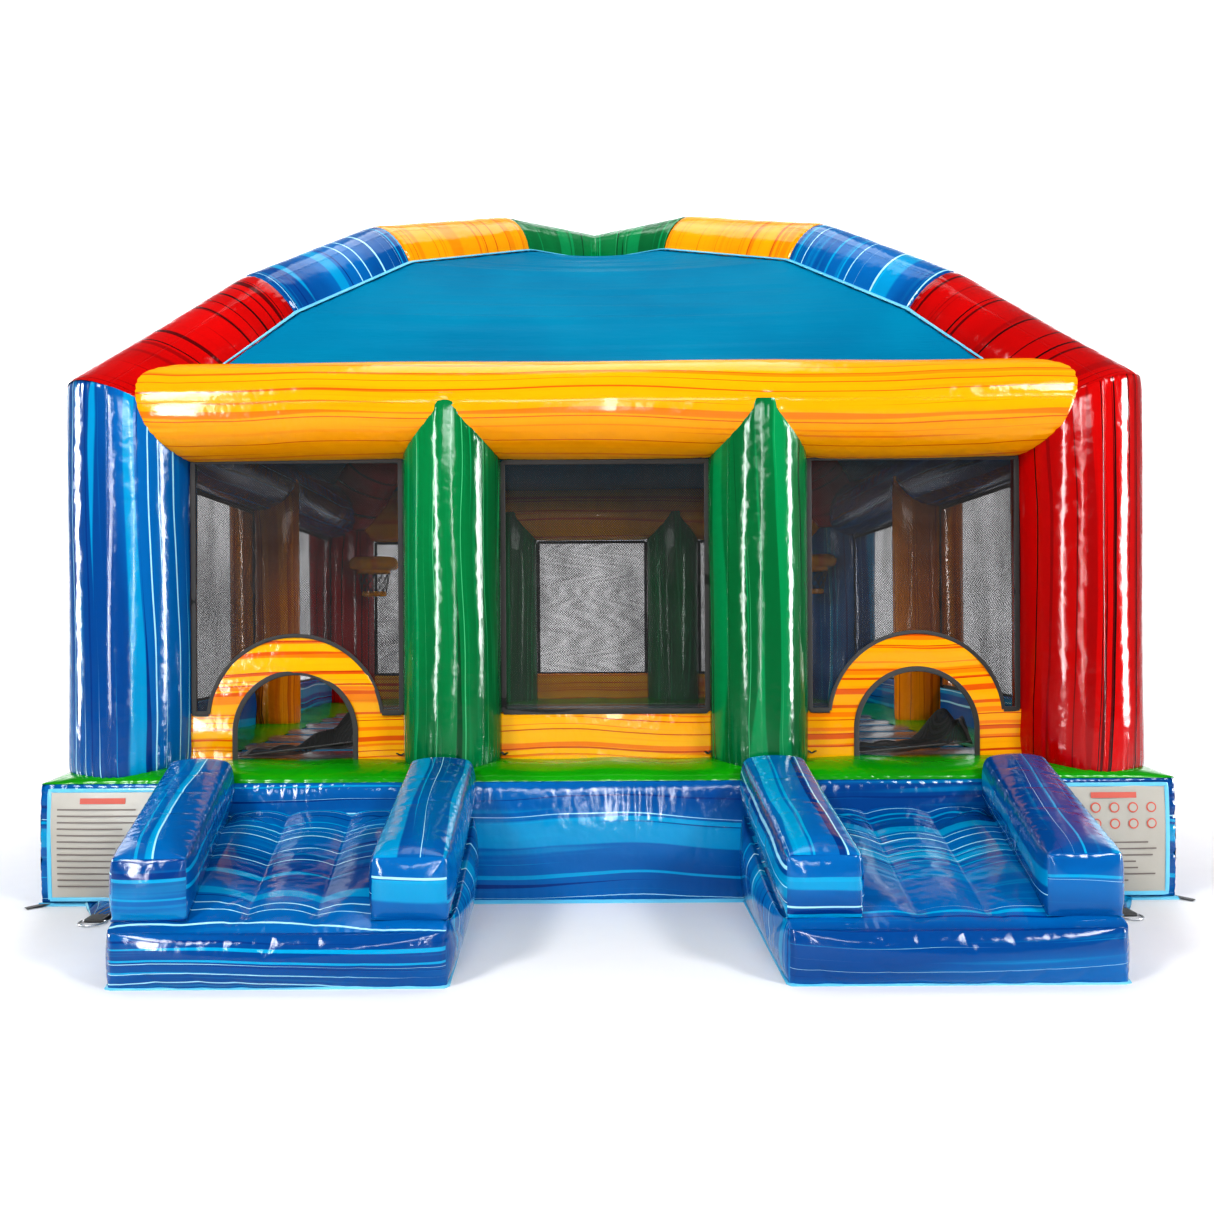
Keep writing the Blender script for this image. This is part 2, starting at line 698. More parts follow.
# %% The corner
ARCH = []
for run, rise in zip(ARCH_RUNS, ARCH_RISES):
    out_from_middle = COLUMN_AT - run / math.sqrt(2)
    ARCH.append(np.array([-out_from_middle, -out_from_middle, ELBOW_Z + rise]))
ARCH_WAYS = [np.array([0.0, 0.0, 1.0])] + [unit(b - a) for a, b in zip(ARCH, ARCH[1:])]
OUTWARD = unit([-1.0, -1.0, 0.0])
ACROSS = unit([1.0, -1.0, 0.0])


def arch_radius(t):
    """The lowest stretch of an arch narrows from the column to the arch tube."""
    share = np.clip(np.asarray(t) / np.linalg.norm(ARCH[1] - ARCH[0]), -0.4, 1.0)
    return COLUMN_R + (ARCH_R - COLUMN_R) * share


def in_corner(points):
    """Whether points are inside a corner column or the foot of its arch."""
    near = np.stack([-np.abs(points[:, 0]), -np.abs(points[:, 1]), points[:, 2]], axis=1)
    from_axis = near - ARCH[0]
    column = (np.hypot(from_axis[:, 0], from_axis[:, 1]) < COLUMN_R) & (near[:, 2] < ELBOW_Z)
    t = from_axis @ ARCH_WAYS[1]
    off = np.linalg.norm(from_axis - t[:, None] * ARCH_WAYS[1], axis=1)
    return column | ((off < arch_radius(t)) & (t > -0.15))


def in_front_beam(points):
    """Whether points are inside the front beam."""
    return np.hypot(points[:, 1] + BEAM_AT, points[:, 2] - BEAM_Z) < TUBE_R - 0.004


def border_height(from_edge, from_corner):
    """The padded border's top: a round outer edge, then a slow fall to the floor."""
    rise = np.sqrt(1 - (1 - np.clip(from_edge / 0.30, 0, 1)) ** 2)
    fall = np.clip((from_edge - 0.30) / (HALF - FLOOR_EDGE - 0.30), 0, 1)
    top = WALL_TOP + (BORDER_TOP + 0.006 - WALL_TOP) * rise - (BORDER_TOP - FLOOR_TOP + 0.006) * fall ** 1.5
    corner = 1 - 0.75 * np.exp(-np.clip(from_corner, 0, None) / 0.22) * (1 - fall)
    return WALL_TOP + (top - WALL_TOP) * corner


def border_under(points):
    """The border's height under points near any wall."""
    x, y = np.abs(points[:, 0]), np.abs(points[:, 1])
    return border_height(HALF - np.maximum(x, y), HALF - np.minimum(x, y))


def quarter_turn(piece, quarter):
    """Turns a finished mesh about the middle of the house by quarters."""
    points = points_of(piece.data)
    turn = quarter * math.pi / 2
    x = points[:, 0] * math.cos(turn) - points[:, 1] * math.sin(turn)
    y = points[:, 0] * math.sin(turn) + points[:, 1] * math.cos(turn)
    move_points(piece, np.stack([x, y, points[:, 2]], axis=1))
    return piece


print("arch length", round(float(sum(np.linalg.norm(b - a) for a, b in zip(ARCH, ARCH[1:]))), 2), "m")

# %% [markdown]
# ## Corner columns
# A column is one rolled sheet. Its foot settles into the padded border, and its head is cut to the
# mitre where the arch leans in. The print's join is turned to the inside of the house.

# %% Columns
CORNERS = [("front_left", BLUE, "vinyl_blue"), ("front_right", RED, "vinyl_red"),
           ("back_right", BLUE, "vinyl_blue"), ("back_left", RED, "vinyl_red")]
elbow = unit(np.array([0.0, 0.0, 1.0]) + ARCH_WAYS[1])


def column_ends(u, out):
    foot = np.array([-COLUMN_AT, -COLUMN_AT, 0.0]) + COLUMN_R * out
    low = border_under(foot) - SEAM_TUCK - ELBOW_Z
    return low, mitre(np.array([0.0, 0.0, 1.0]), elbow, out, COLUMN_R)


for quarter, (corner, material, slot) in enumerate(CORNERS):
    column = roll("corner_column_" + corner, ARCH[0], (0, 0, 1), -OUTWARD, steady(COLUMN_R), column_ends,
                  (220, 70), (11 + quarter, 31), offset=3.7 * quarter, pleats=44,
                  depth=(0.012, 0.005), fade=0.10, pinch=(0.012, 0.008))
    quarter_turn(column, quarter)
    finish_piece(column, material, stands_for=["column_" + corner])
print("columns:", len(CORNERS))

# %% [markdown]
# ## Roof arches
# Each arm climbs from its column in four straight stretches of different colours. The two pieces
# at a seam share one set of pleats, so a valley runs on from one colour into the next.

# %% Arch arms
ARM_PARTS = [("lower", RED, "vinyl_red"), ("middle", BLUE, "vinyl_blue"), ("upper", YELLOW, "vinyl_yellow")]


def arm_stretch(index, name, quarter, cells, seeds, offset):
    """One stretch between two mitres."""
    start, way = ARCH[index], ARCH_WAYS[index + 1]
    length = np.linalg.norm(ARCH[index + 1] - start)
    before = unit(ARCH_WAYS[index] + way)
    after = unit(way + ARCH_WAYS[index + 2]) if index < 3 else -OUTWARD
    radius = arch_radius if index == 0 else steady(ARCH_R)

    def ends(u, out):
        low = mitre(way, before, out, radius(0.0))
        high = length + mitre(way, after, out, ARCH_R)
        return low, high

    piece = roll(name, start, way, -ACROSS, radius, ends, cells, seeds, grain="along", offset=offset,
                 pleats=42, depth=(0.004, 0.004), fade=0.05, pinch=(0.008, 0.008))
    return quarter_turn(piece, quarter)


for index, (part, material, slot) in enumerate(ARM_PARTS):
    for quarter, (corner, _, _) in enumerate(CORNERS):
        seeds = (31 if index == 0 else 50 + 10 * index + quarter, 60 + 10 * index + quarter)
        arm = arm_stretch(index, f"arch_{part}_{corner}", quarter, (200, 44), seeds, 2.3 * quarter + index)
        finish_piece(arm, material,
                     stands_for=[f"arch_{part}_segments"] if quarter == 0 else [])
print("arch stretches:", 4 * len(ARM_PARTS))

# %% [markdown]
# ## The crown
# At the top the four green stretches meet in a cross. Each arm is cut to its quarter of the cross,
# so two neighbours share one valley line, and the four are joined and welded into one chamber.

# %% Crown
def crown_ends(u, out):
    way = ARCH_WAYS[4]
    length = np.linalg.norm(ARCH[4] - ARCH[3])
    low = mitre(way, unit(ARCH_WAYS[3] + way), out, ARCH_R)
    meet = np.array([way[0], way[1], 0.0])
    flat = np.linalg.norm(meet)
    sideways = np.abs(out @ ACROSS) * ARCH_R
    ahead = (out @ (meet / flat)) * ARCH_R
    return low, length - (sideways + ahead) / flat


crown_arms = []
for quarter in range(4):
    arm = roll(f"crown_arm_{quarter}", ARCH[3], ARCH_WAYS[4], -ACROSS, steady(ARCH_R), crown_ends,
               (152, 38), (80 + quarter, 99), grain="along", offset=4.1 * quarter, pleats=38,
               depth=(0.004, 0.004), fade=0.05, pinch=(0.006, 0.0), breath=0.0)
    crown_arms.append(quarter_turn(arm, quarter))
crown = join(crown_arms, "crown")
stitch(10 * WELD)
finish_piece(crown, GREEN, stands_for=["arch_crown"])
print("crown faces:", len(crown.data.polygons))

# %% [markdown]
# ## Top beams
# A beam runs from corner to corner and opens into the columns. Where a post meets it from below,
# the seam is a pointed arch: the line where two equal tubes cross. The beam is pinched along it.

# %% Beams
WALLS = [("front", YELLOW, "vinyl_yellow", (-POST_X, POST_X)), ("right", NAVY, "vinyl_blue", (0.0,)),
         ("back", YELLOW, "vinyl_yellow", (-POST_X, POST_X)), ("left", NAVY, "vinyl_blue", (0.0,))]


def beam_ends(u, out):
    middle = np.array([0.0, -BEAM_AT, BEAM_Z])
    far = reach_to(middle, np.array([1.0, 0.0, 0.0]), out, TUBE_R, in_corner, COLUMN_AT) + SEAM_TUCK
    return -far, far


def post_seams(post_places):
    """Pulls a beam in along the seams of the posts under it."""
    def pull(points, out):
        moved = points.copy()
        for place in post_places:
            below = BEAM_Z - points[:, 2]
            sideways = np.abs(points[:, 0] - place)
            beyond = (sideways - below) / math.sqrt(2)
            along = (sideways + below) / math.sqrt(2)
            ridge = np.abs(np.sin(along * 52 + 3 * np.sin(along * 17 + place)))
            deep = (0.004 + 0.010 * (1 - ridge ** 0.7)) * np.exp(-np.abs(beyond) / 0.055)
            deep = np.where((below > -0.05) & (sideways < 0.6), deep, 0.0)
            moved = moved - out * deep[:, None]
        return moved
    return pull


for quarter, (wall, material, slot, post_places) in enumerate(WALLS):
    cells = (176, 222) if wall == "front" else (130, 170)
    beam = roll("top_beam_" + wall, (0, -BEAM_AT, BEAM_Z), (1, 0, 0), (0, 1, 0), steady(TUBE_R), beam_ends,
                cells, (111 + quarter, 121 + quarter), offset=2.9 * quarter, fade=0.10,
                pinch=(0.008, 0.008), extra=post_seams(post_places), breath=0.005, lap_phase=0.5)
    quarter_turn(beam, quarter)
    finish_piece(beam, material, stands_for=["beam_" + wall])
print("beams:", len(WALLS))

# %% [markdown]
# ## Wall posts
# A post is rolled like a column. Its foot follows the border and its head is cut to the underside
# of the beam, which gives the pointed top.

# %% Posts
def post_ends_at(x):
    """Ends of a front post: the border below, the beam above."""
    def ends(u, out):
        start = np.array([x, -BEAM_AT, 0.0])
        low = border_under(start + TUBE_R * out) - SEAM_TUCK
        lifted = start + np.array([0.0, 0.0, BEAM_Z - TUBE_R * 1.6])
        high = lifted[2] + reach_to(lifted, np.array([0.0, 0.0, 1.0]), out, TUBE_R, in_front_beam, TUBE_R * 2)
        return low, np.minimum(high, BEAM_Z + 0.01)
    return ends


POSTS = [("post_front_left", 0, -POST_X, GREEN, "vinyl_green"),
         ("post_front_right", 0, POST_X, GREEN, "vinyl_green"),
         ("post_back_right", 2, -POST_X, GREEN, "vinyl_green"),
         ("post_back_left", 2, POST_X, GREEN, "vinyl_green"),
         ("post_side_right", 1, 0.0, ORANGE, "vinyl_yellow"),
         ("post_side_left", 3, 0.0, ORANGE, "vinyl_yellow")]
POST_NODES = {"post_front_left": ["posts_front"], "post_back_left": ["posts_back"],
              "post_side_left": ["posts_side"]}
for number, (name, quarter, x, material, slot) in enumerate(POSTS):
    post = roll(name, (x, -BEAM_AT, 0), (0, 0, 1), (0, 1, 0), steady(TUBE_R), post_ends_at(x),
                (190, 64), (141 + number, 161 + number), offset=1.9 * number,
                depth=(0.012, 0.003), fade=0.10, pinch=(0.012, 0.003))
    quarter_turn(post, quarter)
    finish_piece(post, material, stands_for=POST_NODES.get(name, []))
print("posts:", len(POSTS))

# %% [markdown]
# ## The mattress
# The side walls belly out between the top and bottom seams, and pleat along them, because the
# round wall has more cloth than the straight seam. Behind the zip the back wall lies flat.


# %% Mattress walls
def wall_bulge(x, z):
    """How far a side wall stands out from the box of the mattress."""
    height = np.clip(z / WALL_TOP, 0, 1)
    end = np.clip((HALF - np.abs(x)) / 0.35, 0, 1)
    belly = 0.040 * np.sin(np.pi * height) ** 0.7 * (0.35 + 0.65 * np.sin(end * np.pi / 2))
    slow = 0.006 * np.sin(3.1 * x + 2.0) * np.sin(np.pi * height)
    return belly + slow - SEAM_TUCK


ZIP_X, ZIP_Z = 1.5, 0.15


def near_zip(x, z):
    """1 beside the zip, where the wall lies flat behind it, and 0 away from it."""
    return np.clip(4.4 - np.abs(x - ZIP_X) / 0.14, 0, 1) * np.clip(2.2 - np.abs(z - ZIP_Z) / 0.07, 0, 1)


def wall_place(seed, has_zip=False):
    def place(u, v):
        x = (2 * u - 1) * (HALF - SEAM_TUCK)
        z = WALL_TOP * crowd(v, 0.6)
        top = pucker(u, WALL_TOP - z, seed, 90, 0.007, 0.07, 0.006)
        foot = pucker(u, z, seed + 5, 110, 0.014, 0.06, 0.012)
        edge = pucker(v, (HALF - np.abs(x)), seed + 9, 15, 0.016, 0.09, 0.010)
        stand = wall_bulge(x, z) + top + foot + edge
        if has_zip:
            stand = stand * (1 - near_zip(x, z)) - 0.003 * near_zip(x, z)
        return x, -HALF - stand, z
    return place


for quarter, (wall, _, _, _) in enumerate(WALLS):
    cells = (520, 44) if wall == "front" else (340, 32)
    side = cut_sheet("mattress_wall_" + wall, cells, (2 * HALF, WALL_TOP),
                     wall_place(200 + quarter, wall == "back"), "along", 5.3 * quarter)
    quarter_turn(side, quarter)
    finish_piece(side, BLUE, stands_for=["base_walls"] if quarter == 0 else [])
print("mattress walls:", len(WALLS))

# %% [markdown]
# ## The padded border and the floor
# The border is four mitred strips with a round outer edge. The floor is one sheet, pulled down in
# nine ribs by the baffles below it.

# %% Padded border and floor
def border_place(seed):
    def place(u, v):
        from_edge = (HALF - FLOOR_EDGE) * v ** 1.35
        y = -(HALF - SEAM_TUCK) + from_edge
        x = (2 * u - 1) * -y
        z = border_height(from_edge, HALF - np.abs(x))
        ridge = pucker(u, from_edge, seed, 70, 0.006, 0.09, 0.004)
        rise = np.sin(np.clip(from_edge / 0.06, 0, 1) * np.pi / 2)
        low = 0.006 * np.sin(9 * x + 1.3) * np.sin(np.pi * v)
        return x, y - ridge * (1 - rise) * 0.6, z + ridge * rise + low
    return place


for quarter, (wall, _, _, _) in enumerate(WALLS):
    cells = (520, 40) if wall == "front" else (340, 28)
    border = cut_sheet("border_" + wall, cells, (2 * HALF, HALF - FLOOR_EDGE), border_place(230 + quarter))
    quarter_turn(border, quarter)
    finish_piece(border, LIME, stands_for=["floor_border"] if quarter == 0 else [])


def floor_place(u, v):
    x, y = (2 * u - 1) * (FLOOR_EDGE + 0.02), (2 * v - 1) * (FLOOR_EDGE + 0.02)
    rib = np.abs(np.sin(np.pi * 9 * v)) ** 0.5
    stitch = 0.006 * np.abs(np.sin(90 * u)) * np.exp(-rib / 0.25)
    return x, y, FLOOR_TOP - 0.035 + 0.045 * rib - stitch


bounce_floor = cut_sheet("bounce_floor", (110, 216), (2 * FLOOR_EDGE, 2 * FLOOR_EDGE), floor_place)
finish_piece(bounce_floor, GREY, stands_for=["floor_surface"])
repaint("base_bottom", GREY)
repaint("floor_baffles", NAVY)
print("border and floor laid")

# %% [markdown]
# ## Panels cut to a line
# Netting and low walls are flat sheets cut to an outline. `cut_to_line` lays a fine grid, throws
# away what is outside, and slides the ragged edge back to the line. The line is given as a signed
# distance: negative inside the panel.


# %% Cut to a line
def box_line(x, z, middle, half):
    """Signed distance to a rectangle."""
    dx, dz = np.abs(x - middle[0]) - half[0], np.abs(z - middle[1]) - half[1]
    return np.hypot(np.maximum(dx, 0), np.maximum(dz, 0)) + np.minimum(np.maximum(dx, dz), 0)


def door_line(x, z, middle, radius, height, foot):
    """Signed distance to a doorway: a half round on straight legs."""
    disc = np.hypot(x - middle, z - height) - radius
    legs = box_line(x, z, (middle, (height + foot) / 2), (radius, (height - foot) / 2))
    return np.where(z > height, disc, legs)


def cut_to_line(name, low, high, cell, line, lay, grain="along", offset=0.0):
    """A sheet over a rectangle, cut where line(x, z) is zero and laid in space by lay(x, z)."""
    cells = [max(2, round((b - a) / cell)) for a, b in zip(low, high)]
    size = (high[0] - low[0], high[1] - low[1])
    piece = cut_sheet(name, cells, size, lambda u, v: (low[0] + size[0] * u, 0 * u, low[1] + size[1] * v),
                      grain, offset)
    mesh = bmesh.new()
    mesh.from_mesh(piece.data)
    place = points_of(piece.data)
    x, z = place[:, 0], place[:, 2]
    away = line(x, z)
    outside = [face for face in mesh.faces if all(away[vertex.index] > 1e-6 for vertex in face.verts)]
    step = 1e-4
    for _ in range(6):
        gap = np.maximum(line(x, z), 0)
        slope_x = (line(x + step, z) - line(x - step, z)) / (2 * step)
        slope_z = (line(x, z + step) - line(x, z - step)) / (2 * step)
        x, z = x - gap * slope_x, z - gap * slope_z
    points = np.stack(lay(x, z), axis=1)
    for vertex, point in zip(mesh.verts, points):
        vertex.co = point
    bmesh.ops.delete(mesh, geom=outside, context="FACES")
    mesh.to_mesh(piece.data)
    mesh.free()
    return piece


def thicken(piece, depth):
    """Gives a sheet its thickness, half to each side."""
    solid = piece.modifiers.new("thickness", "SOLIDIFY")
    solid.thickness = depth
    solid.offset = 0.0
    apply_modifier(piece, solid)
    return piece


def slack(x, z, seed, depth):
    """The soft unevenness of a sheet that hangs between tubes."""
    draw = np.random.default_rng(seed)
    total = 0.0
    for _ in range(9):
        a, b = draw.uniform(-3.0, 5.0), draw.uniform(8.0, 34.0)
        total = total + np.sin(a * x + b * z + draw.uniform(0, 6.28)) / (1 + 0.06 * b)
    return depth * total / 2


print("panel tools ready")

# %% [markdown]
# ## Low walls
# Below the windows runs a low vinyl wall. It is a single sheet in each bay, a little slack, sewn to
# the tubes on both sides.

# %% Low walls
BAY_OUTER = (COLUMN_AT - COLUMN_R, POST_X + TUBE_R)
DOOR_X = (BAY_OUTER[0] + BAY_OUTER[1]) / 2 + 0.015
DOOR_OUT_R, DOOR_OUT_Z = 0.490, 0.945
DOOR_IN_R, DOOR_IN_Z = 0.340, 0.890
TUCK = 0.012
FRONT_BAYS = [(-BAY_OUTER[0], -BAY_OUTER[1]), (-POST_X + TUBE_R, POST_X - TUBE_R),
              (BAY_OUTER[1], BAY_OUTER[0])]
SIDE_BAYS = [(-BAY_OUTER[0], -TUBE_R), (TUBE_R, BAY_OUTER[0])]
FOOT = BORDER_TOP - SEAM_TUCK


def wall_lay(seed, depth, push=0.0):
    """Lays a cut sheet in the middle plane of the front wall."""
    return lambda x, z: (x, -BEAM_AT - push + slack(x, z, seed, depth), z)


def plain_bay(name, bay, low, high, seed, depth, cell=0.02):
    """A rectangular sheet across a bay, tucked a little into the tubes."""
    corner_low = (bay[0] - TUCK, low)
    corner_high = (bay[1] + TUCK, high)
    middle = ((bay[0] + bay[1]) / 2, (low + high) / 2)
    half = ((corner_high[0] - corner_low[0]) / 2, (high - low) / 2)
    return cut_to_line(name, corner_low, corner_high, cell, lambda x, z: box_line(x, z, middle, half),
                       wall_lay(seed, depth), offset=seed * 0.37)


low_walls = [("low_wall_front", 0, FRONT_BAYS[1], AMBER, "vinyl_yellow", ["half_walls_front_back"])]
low_walls += [(f"low_wall_back_{n}", 2, bay, AMBER, "vinyl_yellow", []) for n, bay in enumerate(FRONT_BAYS)]
low_walls += [(f"low_wall_right_{n}", 1, bay, BLUE, "vinyl_blue", []) for n, bay in enumerate(SIDE_BAYS)]
low_walls += [(f"low_wall_left_{n}", 3, bay, BLUE, "vinyl_blue", ["half_walls_side"] if n == 0 else [])
              for n, bay in enumerate(SIDE_BAYS)]
for number, (name, quarter, bay, material, slot, nodes) in enumerate(low_walls):
    panel = thicken(plain_bay(name, bay, FOOT, LOW_WALL_TOP, 300 + number, 0.006), VINYL_THICK)
    quarter_turn(panel, quarter)
    finish_piece(panel, material, stands_for=nodes)
    bay[1] - bay[0] + 2 * TUCK
print("low walls:", len(low_walls))

# %% [markdown]
# ## Door panels
# A door panel is a low wall and a half-round hump in one, with a half-round doorway cut out of it.

# %% Door panels
def door_outline(middle, bay):
    """The outline of a door panel, with the doorway cut out of it."""
    span = ((bay[0] + bay[1]) / 2, (FOOT + LOW_WALL_TOP) / 2)
    half = ((bay[1] - bay[0]) / 2 + TUCK, (LOW_WALL_TOP - FOOT) / 2)

    def line(x, z):
        wall = box_line(x, z, span, half)
        hump = door_line(x, z, middle, DOOR_OUT_R, DOOR_OUT_Z, FOOT)
        way = door_line(x, z, middle, DOOR_IN_R, DOOR_IN_Z, FOOT - 0.2)
        return np.maximum(np.minimum(wall, hump), -way)
    return line


DOORS = {"left": (-DOOR_X, FRONT_BAYS[0]), "right": (DOOR_X, FRONT_BAYS[2])}
HUMP_TOP = DOOR_OUT_Z + DOOR_OUT_R
for number, (side, (middle, bay)) in enumerate(DOORS.items()):
    panel = cut_to_line("door_arch_" + side, (bay[0] - TUCK, FOOT), (bay[1] + TUCK, HUMP_TOP), 0.012,
                        door_outline(middle, bay), wall_lay(330 + number, 0.008, 0.004), offset=1.7 * number)
    thicken(panel, 0.004)
    finish_piece(panel, AMBER, stands_for=["door_panel_" + side])
    width, height = bay[1] - bay[0] + 2 * TUCK, HUMP_TOP - FOOT
print("door panels:", len(DOORS))

# %% [markdown]
# ## Netting
# Every bay above the low walls is closed with black netting. In the door bays the net is cut round
# the hump. It is one layer thick: its strands and holes are in the finish.

# %% Windows
def window_outline(middle, bay):
    span = ((bay[0] + bay[1]) / 2, (LOW_WALL_TOP + WINDOW_TOP) / 2)
    half = ((bay[1] - bay[0]) / 2 + TUCK, (WINDOW_TOP - LOW_WALL_TOP) / 2 + TUCK)

    def line(x, z):
        hump = door_line(x, z, middle, DOOR_OUT_R, DOOR_OUT_Z, FOOT)
        return np.maximum(box_line(x, z, span, half), -hump)
    return line


windows = []
for number, (side, (middle, bay)) in enumerate(DOORS.items()):
    net = cut_to_line("window_front_" + side, (bay[0] - TUCK, LOW_WALL_TOP - TUCK),
                      (bay[1] + TUCK, WINDOW_TOP + TUCK), 0.02, window_outline(middle, bay),
                      wall_lay(350 + number, 0.012))
    windows.append((net, ["windows_front"] if number == 0 else [], bay, 1.42))
bays = [("window_front_middle", 0, FRONT_BAYS[1])]
bays += [(f"window_back_{n}", 2, bay) for n, bay in enumerate(FRONT_BAYS)]
bays += [(f"window_right_{n}", 1, bay) for n, bay in enumerate(SIDE_BAYS)]
bays += [(f"window_left_{n}", 3, bay) for n, bay in enumerate(SIDE_BAYS)]
for number, (name, quarter, bay) in enumerate(bays):
    net = plain_bay(name, bay, LOW_WALL_TOP - TUCK, WINDOW_TOP + TUCK, 360 + number, 0.012, 0.03)
    quarter_turn(net, quarter)
    nodes = {"window_back_0": ["windows_back"], "window_left_0": ["windows_side"]}.get(name, [])
    windows.append((net, nodes, bay, None))
for net, nodes, bay, area in windows:
    finish_piece(net, NET, stands_for=nodes)
    width, height = bay[1] - bay[0] + 2 * TUCK, WINDOW_TOP - LOW_WALL_TOP + 2 * TUCK
print("windows:", len(windows))

# %% [markdown]
# ## Tape
# Black tape binds every cut edge. It is a flat tube swept along the edge: `tape` rounds a narrow
# rectangle about a path, so it has thickness and soft corners.


# %% Tape
def resample(points, spacing):
    """Evenly spaced points along a chain of straight runs."""
    points = np.asarray(points, float)
    steps = np.linalg.norm(np.diff(points, axis=0), axis=1)
    walked = np.concatenate([[0], np.cumsum(steps)])
    wanted = np.linspace(0, walked[-1], max(3, int(walked[-1] / spacing)) + 1)
    return np.stack([np.interp(wanted, walked, points[:, k]) for k in range(3)], axis=1), walked[-1]


def squared(wave):
    """Turns a circle's wave into that of a rounded square."""
    return np.sign(wave) * np.abs(wave) ** 0.5


def tape(name, path, face, width, depth, spacing=0.02, closed=False):
    """A flat ribbon along a path. face is the direction its broad side looks."""
    points, length = resample(path, spacing)
    way = np.gradient(points, axis=0)
    if closed:
        way[0] = way[-1] = points[1] - points[-2]
    way /= np.linalg.norm(way, axis=1)[:, None]
    face = np.broadcast_to(np.asarray(face, float), points.shape)
    edge = np.cross(way, face)
    edge /= np.linalg.norm(edge, axis=1)[:, None]
    up = np.cross(edge, way)
    rows = len(points) - 1

    def place(u, v):
        row = np.rint(v * rows).astype(int)
        angle = 2 * np.pi * u
        side, high = squared(np.cos(angle)) * width / 2, squared(np.sin(angle)) * depth / 2
        return (points[row] + edge[row] * side[:, None] + up[row] * high[:, None]).T

    return cut_sheet(name, (16, rows), (2 * (width + depth), length), place, "up", weld=True)


def frame_path(bay, low, high):
    """Round a window, as points in the front wall."""
    y = -BEAM_AT - 0.006
    corners = [(bay[0], low), (bay[1], low), (bay[1], high), (bay[0], high), (bay[0], low)]
    return [(x, y, z) for x, z in corners]


def hump_path(middle, radius, height, foot, push=0.008):
    """Up one leg of a doorway, over the round and down the other leg."""
    y = -BEAM_AT - push
    low = math.asin(max(foot - height, 0) / radius)
    arc = [(middle - radius * math.cos(a), y, height + radius * math.sin(a))
           for a in np.linspace(low, math.pi - low, 41)]
    if foot >= height:
        return arc
    return [(middle - radius, y, foot), *arc, (middle + radius, y, foot)]


TAPE_W, HUMP_TAPE_W, TAPE_THICK = 0.030, 0.022, 0.009
EDGE_GAP = 0.014
tapes = []
for side, (middle, bay) in DOORS.items():
    hump = hump_path(middle, DOOR_OUT_R + 0.004, DOOR_OUT_Z, LOW_WALL_TOP)
    x0, x1, y = bay[0] + EDGE_GAP, bay[1] - EDGE_GAP, hump[0][1]
    turns = [(hump[0][0], LOW_WALL_TOP), (x0, LOW_WALL_TOP), (x0, WINDOW_TOP), (x1, WINDOW_TOP),
             (x1, LOW_WALL_TOP), (hump[-1][0], LOW_WALL_TOP)]
    tapes.append((f"tape_window_{side}", [(x, y, z) for x, z in turns], 0))
    tapes.append((f"tape_hump_{side}", hump, 0))
    tapes.append((f"tape_doorway_{side}", hump_path(middle, DOOR_IN_R, DOOR_IN_Z, FOOT, 0.010), 0))
for name, quarter, bay in bays:
    inner = (bay[0] + EDGE_GAP, bay[1] - EDGE_GAP)
    around = frame_path(inner, LOW_WALL_TOP, WINDOW_TOP - EDGE_GAP)
    tapes.append((name.replace("window", "tape"), around, quarter))
for number, (name, path, quarter) in enumerate(tapes):
    ribbon = tape(name, path, (0, -1, 0), HUMP_TAPE_W if "hump" in name else TAPE_W, TAPE_THICK)
    quarter_turn(ribbon, quarter)
    finish_piece(ribbon, TAPE, stands_for=["window_bindings"] if number == 0 else [])
print("tapes:", len(tapes))

# %% [markdown]
# ## Door flaps
# A flap of netting is sewn to the threshold of each doorway. Open, it drops inwards and lies in
# soft folds on the border. Closed, it stands up in the doorway, pulled flat: its folds are squashed
# as its hinge turns. It rides on its own hinged body, and so does its tape.

# %% Flaps
RIM_INSET = 0.015
for number, (side, (middle, _)) in enumerate(DOORS.items()):
    low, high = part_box("door_flap_" + side)
    radius = (high.x - low.x) / 2
    reach = high.y - low.y - radius

    def flap_line(x, z):
        return door_line(x, z, middle, radius, low.y + reach, low.y)

    def flap_lay(x, z, phase=1.7 * number):
        inward = z - low.y
        fold = 0.022 * np.sin(14 * x + 9 * inward + phase) * np.clip(inward / 0.1, 0, 1)
        to_right = np.clip((x - middle + 0.12) / 0.34, 0, 1)
        heap = 0.20 * to_right ** 1.4 * np.exp(-((inward - 0.15) / 0.13) ** 2)
        heap = heap * (1 + 0.25 * np.sin(26 * x + 11 * inward))
        return x, z, high.z + 0.012 + np.abs(fold) + heap

    flap = cut_to_line("door_flap_net_" + side, (low.x, low.y), (high.x, high.y), 0.012, flap_line, flap_lay)
    finish_piece(flap, FLAP, body="door_flap_" + side, stands_for=["door_flap_" + side])
    hinge = side + "_door_flap_hinge"
    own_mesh(flap)
    inside = radius - RIM_INSET
    rim = [(middle - inside * math.cos(a), low.y + reach + inside * math.sin(a))
           for a in np.linspace(0, math.pi, 41)]
    foot = low.y + RIM_INSET
    rim = np.array([(middle - inside, foot), *rim, (middle + inside, foot), (middle - inside, foot)])
    rim = np.stack(flap_lay(rim[:, 0], rim[:, 1]), axis=1)
    ribbon = tape("door_flap_tape_" + side, rim, (0, 0, 1), 0.026, 0.008, 0.012)
    finish_piece(ribbon, TAPE, body="door_flap_" + side)
    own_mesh(ribbon)
print("door flaps ready")

# %% [markdown]
# ## Roof panels
# Four panels fill the quarters between the arches. Each is sewn along the sides of two arches and
# to the top of a beam. It is tight, dips slightly in the middle, and has a pale bound edge.


